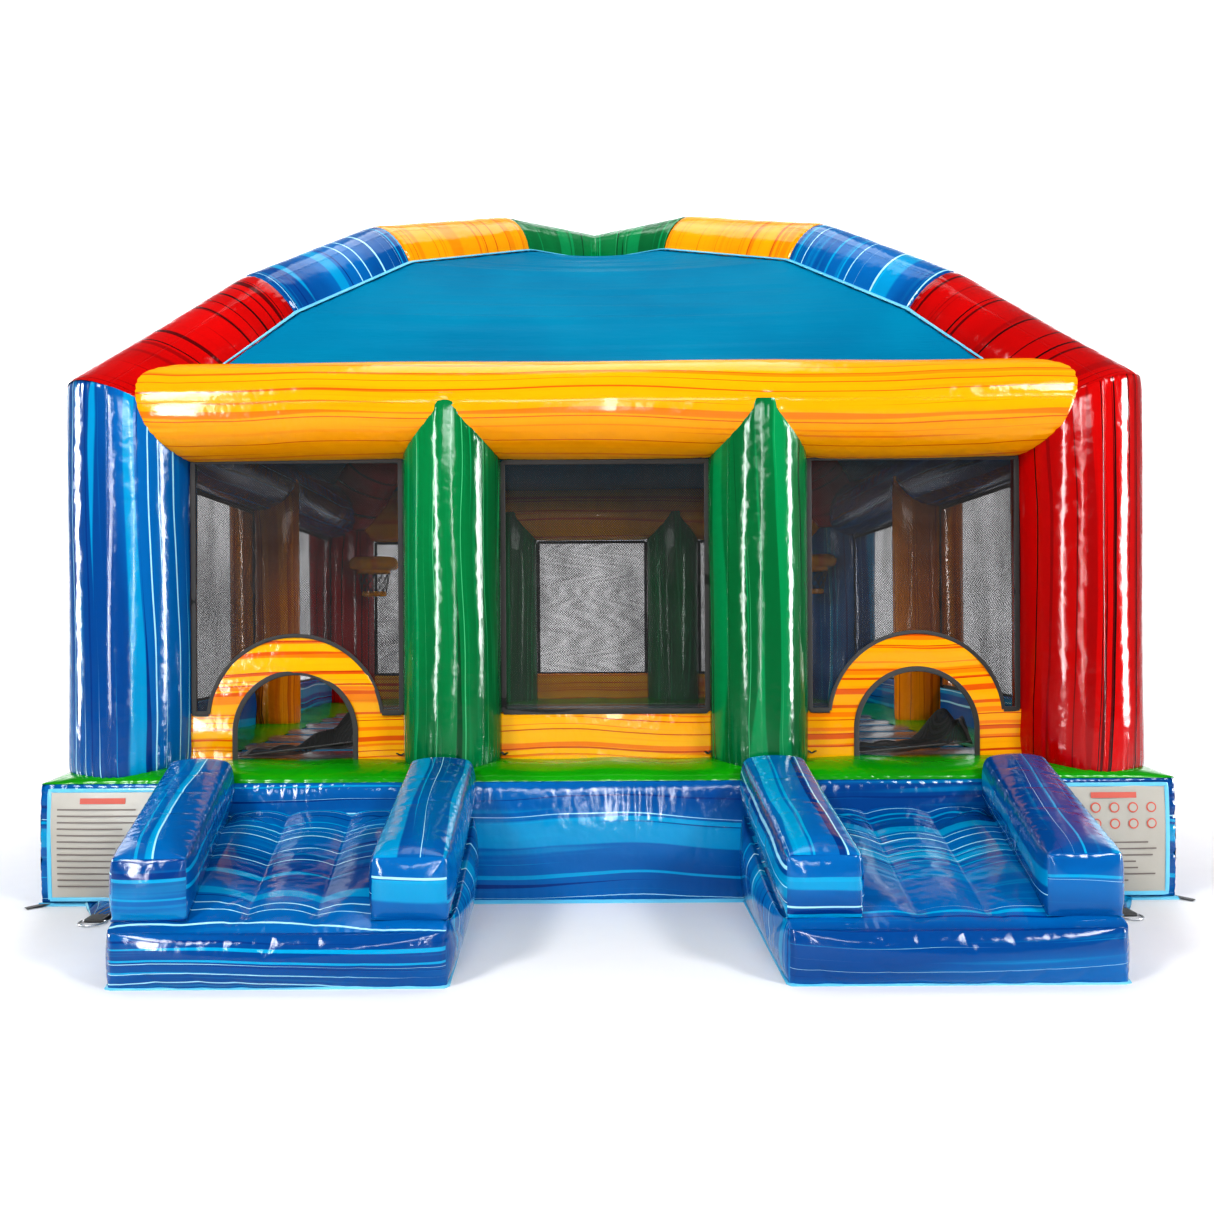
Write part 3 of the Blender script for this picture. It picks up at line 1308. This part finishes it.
# %% Roof
def arch_at(run):
    """The arch axis at a horizontal run from the column: distance to the middle, and height."""
    return (ARCH_RUNS[-1] - run), ELBOW_Z + np.interp(run, ARCH_RUNS, ARCH_RISES)


def roof_edge(run, inset=0.0):
    """A point on the side of the front left arch, where the front panel is sewn."""
    away, height = arch_at(run)
    side = ARCH_R - 0.004 + inset
    return -(away - side) / math.sqrt(2), -(away + side) / math.sqrt(2), height


ROOF_RUNS = (0.26, ARCH_RUNS[-1] - ARCH_R - 0.02)


def roof_place(seed):
    def place(u, v):
        run = ROOF_RUNS[0] + (ROOF_RUNS[1] - ROOF_RUNS[0]) * v
        x, y, z = roof_edge(run)
        across = 2 * u - 1
        dip = 0.07 * (1 - across ** 2) * np.sin(np.pi * np.clip(v, 0, 1)) ** 0.8
        pull = slack(x * across * 0.35, run * 2.2, seed, 0.010) * (1 - across ** 2)
        from_seam = (1 - np.abs(across)) * np.abs(x)
        gather = 0.008 * np.abs(np.sin(26 * run + 2 * np.sin(7 * run))) * np.exp(-from_seam / 0.10)
        return x * across, y, z - dip + pull - gather
    return place


ROOF_FLAT = (4.6, 2.9)
for quarter, (wall, _, _, _) in enumerate(WALLS):
    panel = cut_sheet("roof_panel_" + wall, (110, 112), ROOF_FLAT, roof_place(400 + quarter))
    bpy.ops.object.mode_set(mode="EDIT")
    bpy.ops.mesh.select_all(action="SELECT")
    bpy.ops.mesh.flip_normals()
    bpy.ops.object.mode_set(mode="OBJECT")
    thicken(panel, VINYL_THICK)
    quarter_turn(panel, quarter)
    finish_piece(panel, ROOF, stands_for=["roof_" + wall])
    edge = np.array([roof_edge(run, 0.010) for run in np.linspace(*ROOF_RUNS, 60)])
    for side, sign in (("left", 1), ("right", -1)):
        path = edge * np.array([sign, 1, 1]) + np.array([0, 0, 0.004])
        piping = tape(f"roof_edge_{wall}_{side}", path, (0, -0.5, 0.85), 0.034, 0.010, 0.03)
        quarter_turn(piping, quarter)
        finish_piece(piping, PALE)
print("roof panels:", 4)

# %% [markdown]
# ## Sewn boxes, blown up
# The ramps and their bolsters are boxes of cloth. Five panels are sewn along their edges; the sixth
# side opens into the mattress. Then real air goes in: the seams are held, the cloth is a little too
# large for the box, and pressure pushes it out, so it pleats along every seam by itself.

# %% Sew and blow up
PANELS = {"top": (0, 1, 1.0), "front": (0, 2, 1.0), "inner": (1, 2, 0.0), "outer": (1, 2, 1.0)}


def end_outline(points, y):
    """Lowest and highest x and z of the points at one end."""
    at = points[np.abs(points[:, 1] - y) < 0.002]
    return at[:, 0].min(), at[:, 0].max(), at[:, 2].min(), at[:, 2].max()


def box_between(points):
    """A function from u across, v back to front and w up, to a place in a tapering box."""
    back = end_outline(points, points[:, 1].max())
    front = end_outline(points, points[:, 1].min())
    y_back, y_front = points[:, 1].max(), points[:, 1].min()

    def place(u, v, w):
        left, right, low, high = [a + (b - a) * v for a, b in zip(back, front)]
        return right + (left - right) * u, y_back + (y_front - y_back) * v, low + (high - low) * w
    return place


def puffed(shape, amount):
    """The same box with every sewn face already full of air."""
    def place(u, v, w):
        x, y, z = shape(u, v, w)
        across, up = [np.clip(np.sin(np.pi * np.clip(a, 0, 1)), 0, 1) ** 0.6 for a in (u, w)]
        near_front = np.clip((1 - v) / 0.10, 0, 1) ** 0.6
        side = amount * up * near_front
        return (x + side * (u < 1e-4) - side * (u > 1 - 1e-4), y - amount * across * up * (v > 1 - 1e-4),
                z + amount * across * near_front * (w > 1 - 1e-4))
    return place


def sew_box(name, shape, lengths, spacing, grains, offset):
    """Four welded panels; each point keeps its place in the box as an attribute."""
    parts = []
    for number, (panel, (i, j, fixed)) in enumerate(PANELS.items()):
        def box_place(a, b):
            where = [None, None, None]
            where[i], where[j], where[3 - i - j] = a, b, np.full_like(a, fixed)
            return where

        cells = [max(2, round(lengths[n] / spacing)) for n in (i, j)]
        part = cut_sheet(f"{name}_{panel}", cells, (lengths[i], lengths[j]),
                         lambda a, b: shape(*box_place(a, b)), grains[panel], offset + 1.3 * number)
        flat = cut_sheet("flat", cells, (1, 1), lambda a, b: box_place(a, b))
        part.data.attributes.new("place", "FLOAT_VECTOR", "POINT")
        part.data.attributes["place"].data.foreach_set("vector", points_of(flat.data).ravel())
        bpy.data.objects.remove(flat)
        parts.append(part)
    piece = join(parts, name)
    stitch(spacing * 0.2, face_out=True)
    return piece


def seam_points(piece):
    """Place in the box of each point, and whether it is on a seam or the open back."""
    spots = np.zeros(len(piece.data.vertices) * 3)
    piece.data.attributes["place"].data.foreach_get("vector", spots)
    u, v, w = spots.reshape(-1, 3).T
    tight = 1e-4
    at_side = (u < tight) | (u > 1 - tight)
    at_front = v > 1 - tight
    at_height = (w < tight) | (w > 1 - tight)
    return (u, v, w), (v < tight) | (at_side.astype(int) + at_front + at_height >= 2)


FRAMES = 20


def blow_up(piece, held, grow, pressure, limit):
    """Fills a sewn piece with air. Held points stay; no point moves further than the limit."""
    before = points_of(piece.data)
    pins = piece.vertex_groups.new(name="held")
    pins.add([int(index) for index in np.flatnonzero(held)], 1.0, "REPLACE")
    cloth = piece.modifiers.new("air", "CLOTH")
    settings = cloth.settings
    settings.quality = 5
    settings.mass = 0.25
    settings.tension_stiffness = settings.compression_stiffness = 30
    settings.shear_stiffness = 12
    settings.bending_stiffness = 3.0
    settings.air_damping = 2.0
    settings.use_pressure = True
    settings.uniform_pressure_force = pressure
    settings.effector_weights.gravity = 0.0
    settings.vertex_group_mass = pins.name
    settings.shrink_min = -grow
    cloth.collision_settings.use_collision = False
    cloth.point_cache.frame_end = FRAMES
    for moment in range(1, FRAMES + 1):
        bpy.context.scene.frame_set(moment)
    apply_modifier(piece, cloth)
    bpy.context.scene.frame_set(1)
    move = points_of(piece.data) - before
    length = np.linalg.norm(move, axis=1)
    move *= np.minimum(1, limit / np.maximum(length, 1e-9))[:, None]
    move_points(piece, before + move)
    print(piece.name, "moved at most", round(float(length.max()), 3), "m")


PLEAT = 0.052


def gather_seams(piece, spots, lengths, seed):
    """Pleats along the five sewn edges of a blown-up box."""
    edges = [(1, (0, 0.0), (2, 1.0)), (1, (0, 1.0), (2, 1.0)), (0, (1, 1.0), (2, 1.0)),
             (2, (0, 0.0), (1, 1.0)), (2, (0, 1.0), (1, 1.0))]
    push = 0
    for number, (along, (j, at_j), (k, at_k)) in enumerate(edges):
        away = np.hypot((spots[j] - at_j) * lengths[j], (spots[k] - at_k) * lengths[k])
        push = push + pucker(spots[along], away, seed + number, lengths[along] / PLEAT, 0.006, 0.030, 0.003)
    normals = np.zeros(len(piece.data.vertices) * 3)
    piece.data.vertices.foreach_get("normal", normals)
    move_points(piece, points_of(piece.data) + normals.reshape(-1, 3) * push[:, None])


def smooth_out(piece):
    """One subdivision, applied."""
    smooth = piece.modifiers.new("smooth", "SUBSURF")
    smooth.levels = smooth.render_levels = 1
    apply_modifier(piece, smooth)


def mirror_copy(piece, name, shift):
    """A copy on the other side of the house, with its print moved along."""
    pick(piece)
    bpy.ops.object.duplicate(linked=False)
    copy = bpy.context.object
    copy.name = copy.data.name = name
    copy.data.transform(Matrix.Scale(-1, 4, (1, 0, 0)))
    copy.data.flip_normals()
    layer = copy.data.uv_layers.active.data
    map_ = np.zeros(len(layer) * 2)
    layer.foreach_get("uv", map_)
    layer.foreach_set("uv", map_ + shift)
    return copy


print("sewing tools ready")

# %% [markdown]
# ## Ramps
# The bed of a ramp has three lanes between two sewn grooves. It falls from the doorway to a blunt
# front. Bolsters stand on both its edges.

# %% Ramp beds
SPACING = 0.0175
ramp_points = points_of(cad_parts["ramp_left"].data)
ramp_box = box_between(ramp_points)
bolster_points = points_of(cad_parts["bolsters_left"].data)
middle_x = (ramp_points[:, 0].min() + ramp_points[:, 0].max()) / 2
bolster_sides = {"inner": bolster_points[bolster_points[:, 0] > middle_x],
                 "outer": bolster_points[bolster_points[:, 0] < middle_x]}
at_back = bolster_sides["inner"][:, 1] > ramp_points[:, 1].max() - 0.01
back_width = np.ptp(bolster_sides["inner"][at_back][:, 0])
ramp_size = np.ptp(ramp_points, axis=0)
LANE = (back_width / ramp_size[0], 1 - back_width / ramp_size[0])


def ramp_shape(u, v, w):
    x, y, z = ramp_box(u, v, w)
    lane = np.clip((u - LANE[0]) / (LANE[1] - LANE[0]), 0, 1) * 3
    fade = np.clip((0.93 - v) / 0.05, 0, 1) ** 0.5
    crown = (np.abs(np.sin(np.pi * lane)) ** 0.22 * 0.050 - 0.042) * fade
    nose = 0.02 * np.clip((v - 0.9) / 0.1, 0, 1) ** 2
    front = (v > 0.999) * np.clip(np.sin(np.pi * w) * np.sin(np.pi * u) ** 0.5, 0, 1) ** 0.6 * 0.045
    creases = np.abs(np.sin(17 * u + 1.3 * np.sin(9 * u) + 2.5 * w)) ** 0.6
    folds = (v > 0.999) * 0.007 * np.exp(-w / 0.35) * (1 - creases)
    sides = np.clip(np.sin(np.pi * w), 0, 1) ** 0.6 * 0.026 * np.clip((1 - v) / 0.12, 0, 1) ** 0.6
    x = x + sides * (u < 1e-4) - sides * (u > 1 - 1e-4)
    return x, y - front + folds, z + (crown - nose) * (w > 0.99)


bed_grains = {"top": "along", "front": "along", "inner": "up", "outer": "up"}
bed_lengths = (ramp_size[0], ramp_size[1], ramp_size[2] * 0.78)
bed = sew_box("ramp_bed_left", ramp_shape, bed_lengths, SPACING, bed_grains, 0.4)
(u, v, w), held = seam_points(bed)
columns = round(ramp_size[0] / SPACING)
for groove in (1 / 3, 2 / 3):
    at = LANE[0] + (LANE[1] - LANE[0]) * groove
    held = held | ((np.abs(u - at) < 0.5 / columns) & (w > 0.99) & (v < 0.90))
held = held | (w < 1e-4)
blow_up(bed, held, 0.004, 4.0, 0.04)
gather_seams(bed, (u, v, w), bed_lengths, 700)
smooth_out(bed)
bed_bottom = cut_sheet("bed_bottom", (2, 2), (1, 1),
                       lambda a, b: ramp_box(1 - a, b, 0 * a))
bed = join([bed, bed_bottom], "ramp_bed_left")
bed_right = mirror_copy(bed, "ramp_bed_right", 3.7)
for side, piece in (("left", bed), ("right", bed_right)):
    finish_piece(piece, BLUE, stands_for=["ramp_" + side])
steps = np.linspace(0.02, 0.90, 60)
for groove in (1 / 3, 2 / 3):
    x, y, z = ramp_shape(np.full(60, LANE[0] + (LANE[1] - LANE[0]) * groove), steps, np.ones(60))
    for side, sign in (("left", 1), ("right", -1)):
        welt = tape(f"ramp_welt_{side}_{round(groove * 3)}", np.stack([sign * x, y, z + 0.004], axis=1),
                    (0, -0.2, 1), 0.016, 0.006)
        finish_piece(welt, PALE)
print("ramp bed faces:", len(bed.data.polygons))

# %% [markdown]
# ## Bolsters
# A bolster is a long box with round cheeks. The left pair is sewn and blown up; the right pair is
# its mirror image, with the print moved along so that the two sides differ.

# %% Bolsters
BOLSTER_H = 0.262
bolster_grains = {"top": "up", "front": "along", "inner": "along", "outer": "along"}
for number, (side, points) in enumerate(bolster_sides.items()):
    around = box_between(points)
    lengths = (back_width, np.ptp(points, axis=0)[1], BOLSTER_H)
    bolster = sew_box("bolster_left_" + side, puffed(around, 0.024), lengths, SPACING, bolster_grains,
                      2.2 + 5.1 * number)
    spots, held = seam_points(bolster)
    blow_up(bolster, held, 0.003, 3.0, 0.03)
    gather_seams(bolster, spots, lengths, 720 + 10 * number)
    smooth_out(bolster)
    under = cut_sheet("under", (2, 2), (1, 1), lambda a, b: around(1 - a, b, 0 * a))
    bolster = join([bolster, under], "bolster_left_" + side)
    other = mirror_copy(bolster, "bolster_right_" + side, 7.3)
    for piece, node in ((bolster, "bolsters_left"), (other, "bolsters_right")):
        finish_piece(piece, BLUE, stands_for=[node] if number == 0 else [])
print("bolsters: 4")

# %% [markdown]
# ## Hoops
# A hoop is a small inflated ring on a short arm, with a net of crossed cords between two bands.

# %% Hoops
def ring_tube(name, middle, ring, radius, cells, seed):
    """A closed inflated ring, lying flat."""
    def place(u, v):
        around, over = 2 * np.pi * v, 2 * np.pi * u
        r = radius + breathe(u, 6 * v, seed, 0.002) - 0.004 * np.exp(-np.abs(np.sin(np.pi * 4 * v)) / 0.04)
        out = ring + r * np.cos(over)
        return (middle[0] + out * np.cos(around), middle[1] + out * np.sin(around),
                middle[2] + r * np.sin(over))
    return cut_sheet(name, cells, (2 * np.pi * radius, 2 * np.pi * ring), place, "along", weld=True)


NET_TOP_R, NET_TAPER = 0.165, 0.045


def cord_strand(name, middle, low, high, twist, start):
    """One cord of a net, winding down round a narrowing cone with a small swing at each knot."""
    steps = np.linspace(0, 1, 25)
    radius = NET_TOP_R - NET_TAPER * steps
    angle = start + twist * steps
    path = np.stack([middle[0] + radius * np.cos(angle), middle[1] + radius * np.sin(angle),
                     high + (low - high) * steps], axis=1)
    facing = (resample(path, 0.012)[0] - middle) * np.array([1.0, 1.0, 0.0])
    facing = facing / np.linalg.norm(facing, axis=1)[:, None]
    return tape(name, path, facing, 0.006, 0.006, 0.012)


HOOP_ARM_R, HOOP_ARM_LENGTH = 0.045, 0.17
for side, sign in (("left", -1), ("right", 1)):
    net_low, net_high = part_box("hoop_net_" + side)
    hoop_low, hoop_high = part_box("hoop_" + side)
    middle = np.array([(net_low.x + net_high.x) / 2, (net_low.y + net_high.y) / 2,
                       (hoop_low.z + hoop_high.z) / 2])
    tube_r = (hoop_high.z - hoop_low.z) / 2
    ring_r = (hoop_high.x - hoop_low.x) / 2 - tube_r
    outward = unit([sign, 1, 0])
    ring = ring_tube("hoop_ring_" + side, middle, ring_r, tube_r, (40, 96), 500)
    arm = roll("hoop_arm_" + side, middle + outward * ring_r, outward, (0, 0, 1), steady(HOOP_ARM_R),
               lambda u, out: (0 * u, 0 * u + HOOP_ARM_LENGTH), (40, 12), (501, 502), pleats=9,
               depth=(0.004, 0.004), fade=0.03, pinch=(0.004, 0.004), breath=0.001)
    hoop = join([ring, arm], "hoop_ring_" + side)
    finish_piece(hoop, YELLOW, stands_for=["hoop_" + side])
    strands = []
    for number in range(12):
        for turn in (1, -1):
            strands.append(cord_strand(f"strand_{number}_{turn}", middle, net_low.z, net_high.z,
                                       turn * 1.3, number * math.pi / 6))
    net = join(strands, "hoop_net_cords_" + side)
    finish_piece(net, HOOP_NET, stands_for=["hoop_net_" + side])
    for name, height, radius in (("top", net_high.z - 0.012, 0.166), ("foot", net_low.z + 0.022, 0.124)):
        turn = np.linspace(0, 2 * np.pi, 49)
        path = np.stack([middle[0] + radius * np.cos(turn), middle[1] + radius * np.sin(turn),
                         0 * turn + height], axis=1)
        points, _ = resample(path, 0.02)
        facing = (points - [middle[0], middle[1], height]) / radius
        band = tape(f"hoop_band_{name}_{side}", path, facing, 0.045, 0.006, 0.02, closed=True)
        finish_piece(band, YELLOW)
print("hoops: 2")

# %% [markdown]
# ## Sign pouches
# A white pouch is sewn to each outer end of the front wall, with a pale bound edge. Its print is
# only a heading bar and rows of dashes or round dots.

# %% Signs
def on_front_wall(x, z, lift):
    """A place on the bulging front wall, lifted off it."""
    return x, -HALF - wall_bulge(x, z) - lift, z


def sign_print(name, spots, height, rounded=False, lift=0.0):
    """Small flat marks at the given places, each laid on the sign."""
    marks = []
    for number, (x, z, length) in enumerate(spots):
        def place(u, v):
            a, b = 2 * u - 1, 2 * v - 1
            if rounded:
                a, b = a * np.sqrt(1 - b * b / 2), b * np.sqrt(1 - a * a / 2)
            return on_front_wall(x + a * length / 2, z + b * height / 2, PRINT_LIFT + lift)
        cells = (8, 8) if rounded else (8, 2)
        marks.append(cut_sheet(f"{name}_{number}", cells, (length, height), place))
    return join(marks, name)


sign_low, sign_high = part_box("safety_signs")
SIGN_W = 0.58
SIGN_LIFT, PRINT_LIFT = 0.014, 0.0195
HEADING_H, LINE_H, LINE_STEP, DOT_D, DOT_INSIDE_D = 0.030, 0.008, 0.034, 0.055, 0.040
for side, sign in (("left", -1), ("right", 1)):
    outer, inner = sign * sign_high.x, sign * (sign_high.x - SIGN_W)
    left, right = min(outer, inner), max(outer, inner)

    def pouch_place(u, v):
        x = left + (right - left) * u
        z = sign_low.z + (sign_high.z - sign_low.z) * v
        ripple = 0.003 * np.sin(14 * x + 5 * z) * np.sin(9 * z + 2 * x)
        return on_front_wall(x, z, SIGN_LIFT + ripple)

    pouch = cut_sheet("sign_pouch_" + side, (48, 48), (SIGN_W, SIGN_W), pouch_place)
    thicken(pouch, VINYL_THICK)
    finish_piece(pouch, SIGN, stands_for=["safety_signs"] if side == "left" else [])
    rim = [(left, 0, sign_low.z), (right, 0, sign_low.z), (right, 0, sign_high.z),
           (left, 0, sign_high.z), (left, 0, sign_low.z)]
    rim_x, _, rim_z = resample(rim, 0.02)[0].T
    rim_path = np.stack(on_front_wall(rim_x, rim_z, 0.016), axis=1)
    edge = tape("sign_edge_" + side, rim_path, (0, -1, 0), 0.022, 0.008)
    finish_piece(edge, PALE)
    title = [((left + right) / 2, sign_high.z - 0.055, SIGN_W * 0.42)]
    finish_piece(sign_print("sign_heading_" + side, title, HEADING_H), HEADING)
    draw = np.random.default_rng(7)
    rows = []
    for row in range(13):
        z = sign_high.z - 0.10 - LINE_STEP * row
        if side == "left" or row > 5:
            length = SIGN_W * draw.uniform(0.55, 0.84)
            rows.append((left + 0.045 + length / 2, z, length))
    finish_piece(sign_print("sign_lines_" + side, rows, LINE_H), INK)
    if side == "right":
        spots = [(left + 0.09 + 0.10 * k, sign_high.z - 0.12 - 0.085 * row)
                 for k in range(5) for row in range(2)]
        dots = sign_print("sign_dots_right", [(x, z, DOT_D) for x, z in spots], DOT_D, True)
        finish_piece(dots, HEADING)
        inside = sign_print("sign_dots_inside_right", [(x, z, DOT_INSIDE_D) for x, z in spots],
                            DOT_INSIDE_D, True, 0.001)
        finish_piece(inside, SIGN)
print("signs: 2")

# %% [markdown]
# ## Anchors
# Flat webbing lies on the ground at four corners and ends in a loop round a steel ring. A tapering
# vinyl tab covers it.

# %% Anchors
ring_low, ring_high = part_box("d_ring_front_left")
ANCHOR_X = -(ring_low.x + ring_high.x) / 2
STRAP_W, STRAP_THICK = 0.100, 0.003
LOOP_R = 0.0085
bar = ring_high.y - 0.005
height = (ring_low.z + ring_high.z) / 2
ANCHORS = [(0, 1, "front_left"), (0, -1, "front_right"), (2, 1, "back_right"), (2, -1, "back_left")]
for quarter, sign, name in ANCHORS:
    x = -ANCHOR_X * sign
    over = [(x, -HALF + 0.02, 0.022), (x, -HALF - 0.12, 0.024), (x, bar, height + LOOP_R)]
    under = [(x, bar, 0.0022), (x, -HALF + 0.02, 0.0022)]
    loop = np.array([(x, bar - LOOP_R * math.sin(a), height + LOOP_R * math.cos(a))
                     for a in np.linspace(0, math.pi, 13)])
    facing = resample(loop, 0.004)[0] - np.array([x, bar, height])
    facing = facing / np.linalg.norm(facing, axis=1)[:, None]
    top = tape("anchor_web_top_" + name, over, (0, 0, 1), STRAP_W, STRAP_THICK)
    foot = tape("anchor_web_foot_" + name, under, (0, 0, 1), STRAP_W, STRAP_THICK)
    bend = tape("anchor_web_bend_" + name, loop, facing, STRAP_W, STRAP_THICK, 0.004)
    web = join([top, foot, bend], "anchor_web_" + name)

    def tab_place(u, v):
        half = 0.21 - 0.15 * v
        across = x + (2 * u - 1) * half
        y = -HALF + 0.015 - 0.26 * v
        puff_ = 0.022 * np.sin(np.pi * u) ** 0.6 * (1 - 0.6 * v) + 0.004 * np.sin(30 * u + 9 * v)
        return across, y, 0.012 + puff_

    tab = cut_sheet("anchor_tab_" + name, (40, 26), (0.36, 0.275), tab_place, "up")
    quarter_turn(thicken(tab, VINYL_THICK), quarter)
    quarter_turn(web, quarter)
    finish_piece(web, WEBBING, stands_for=["anchor_straps"] if name == "front_left" else [])
    finish_piece(tab, BLUE)
    "anchor_web_" + name
    repaint("d_ring_" + name, STEEL)
print("anchors:", len(ANCHORS))

# %% [markdown]
# ## Small straps
# A short webbing tip sticks out at each corner of the mattress, and small ties are knotted at the
# feet of the front posts.

# %% Small straps
for quarter in range(4):
    ends = [(-HALF + 0.05, -HALF + 0.02, 0.012), (-HALF - 0.035, -HALF - 0.06, 0.006)]
    tip = tape(f"corner_strap_{quarter}", ends, (0, 0, 1), 0.045, 0.004)
    quarter_turn(tip, quarter)
    finish_piece(tip, WEBBING)
for number, x in enumerate((-POST_X - TUBE_R, -POST_X + TUBE_R, POST_X - TUBE_R, POST_X + TUBE_R)):
    outward = -1 if number % 2 == 0 else 1
    knot = [(x, -BEAM_AT, BORDER_TOP + 0.045), (x + outward * 0.015, -BEAM_AT - 0.03, BORDER_TOP + 0.03),
            (x + outward * 0.035, -BEAM_AT - 0.05, BORDER_TOP + 0.045)]
    tie = tape(f"post_tie_{number}", knot, (0, 0.3, 1), 0.018, 0.004, 0.006)
    finish_piece(tie, WEBBING)
print("small straps ready")

# %% [markdown]
# ## Piping
# Pale piping covers the bottom seam of the mattress and the foot of each ramp.

# %% Piping
PIPING_W, PIPING_THICK = 0.024, 0.008
for quarter, (wall, _, _, _) in enumerate(WALLS):
    along_foot = [(-HALF, -HALF + 0.004, 0.008), (HALF, -HALF + 0.004, 0.008)]
    piping = tape("foot_piping_" + wall, along_foot, (0, -0.6, 0.8), PIPING_W, PIPING_THICK, 0.05)
    quarter_turn(piping, quarter)
    finish_piece(piping, PALE)
front, back = ramp_points[:, 1].min(), ramp_points[:, 1].max()
left, right, _, _ = end_outline(ramp_points, front)
back_left, back_right, _, _ = end_outline(ramp_points, back)
foot = [(back_left, back, 0.006), (left, front, 0.006), (right, front, 0.006), (back_right, back, 0.006)]
piping = tape("ramp_piping_left", foot, (0, -0.5, 0.85), PIPING_W, PIPING_THICK, 0.03)
other = mirror_copy(piping, "ramp_piping_right", 1.0)
for piece in (piping, other):
    finish_piece(piece, PALE)
print("piping ready")

# %% [markdown]
# ## The back: zip, sleeve and blower
# The cover flap of the zip hangs from its hem. The sleeve is a soft tube, gathered by a strap round
# the blower's collar. The blower keeps its moulded shape, with its own finishes.

# %% Zip, sleeve, blower
flap_low, flap_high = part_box("zip_flap")


def zip_place(u, v):
    x = flap_low.x + (flap_high.x - flap_low.x) * u
    z = flap_low.z + (flap_high.z - flap_low.z) * v
    wave = 0.004 * np.sin(16 * x) * (1 - v) + 0.002 * np.sin(41 * x + 2) * (1 - v)
    return x, flap_low.y + 0.0015 + wave + 0.006 * (1 - v), z


zip_size = (flap_high.x - flap_low.x, flap_high.z - flap_low.z)
zip_cover = cut_sheet("zip_cover", (120, 18), zip_size, zip_place)
thicken(zip_cover, VINYL_THICK)
finish_piece(zip_cover, BLUE, body="zip_flap", stands_for=["zip_flap"])

sleeve_low, sleeve_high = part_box("inflation_sleeve")
sleeve_r = (sleeve_high.x - sleeve_low.x) / 2
sleeve_at = np.array([(sleeve_low.x + sleeve_high.x) / 2, sleeve_low.y,
                      (sleeve_low.z + sleeve_high.z) / 2])
sleeve_length = sleeve_high.y - sleeve_low.y
strap_low, strap_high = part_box("sleeve_strap")
strap_y = (strap_low.y + strap_high.y) / 2 - sleeve_low.y


def sleeve_radius(t):
    t = np.asarray(t)
    return sleeve_r + 0.006 * np.sin(23 * t) * np.sin(7 * t) - 0.004 * np.exp(-((t - strap_y) / 0.03) ** 2)


sleeve = roll("sleeve_fabric", sleeve_at, (0, 1, 0), (0, 0, -1), sleeve_radius,
              lambda u, out: (0 * u, 0 * u + sleeve_length), (78, 80), (601, 602), pleats=26,
              depth=(0.012, 0.012), pinch=(0.002, 0.002))
thicken(sleeve, 0.002)
finish_piece(sleeve, BLUE, stands_for=["inflation_sleeve"])
turn = np.linspace(0, 2 * np.pi, 61)
band_r = sleeve_r + 0.004
band_path = np.stack([sleeve_at[0] + band_r * np.cos(turn), 0 * turn + sleeve_low.y + strap_y,
                      sleeve_at[2] + band_r * np.sin(turn)], axis=1)
spots, _ = resample(band_path, 0.015)
facing = (spots - np.array([sleeve_at[0], sleeve_low.y + strap_y, sleeve_at[2]])) / band_r
band = tape("sleeve_band", band_path, facing, 0.040, 0.005, 0.015, closed=True)
finish_piece(band, WEBBING, stands_for=["sleeve_strap"])
BLOWER = {"blower_housing": SHELL, "blower_motor": CAST, "blower_impeller": DARK, "blower_grille": CAST,
          "blower_frame": CAST, "blower_switch": DARK, "zip_tape": ZIP, "zip_slider": CAST}
for node, material in BLOWER.items():
    repaint(node, material)
print("back ready")
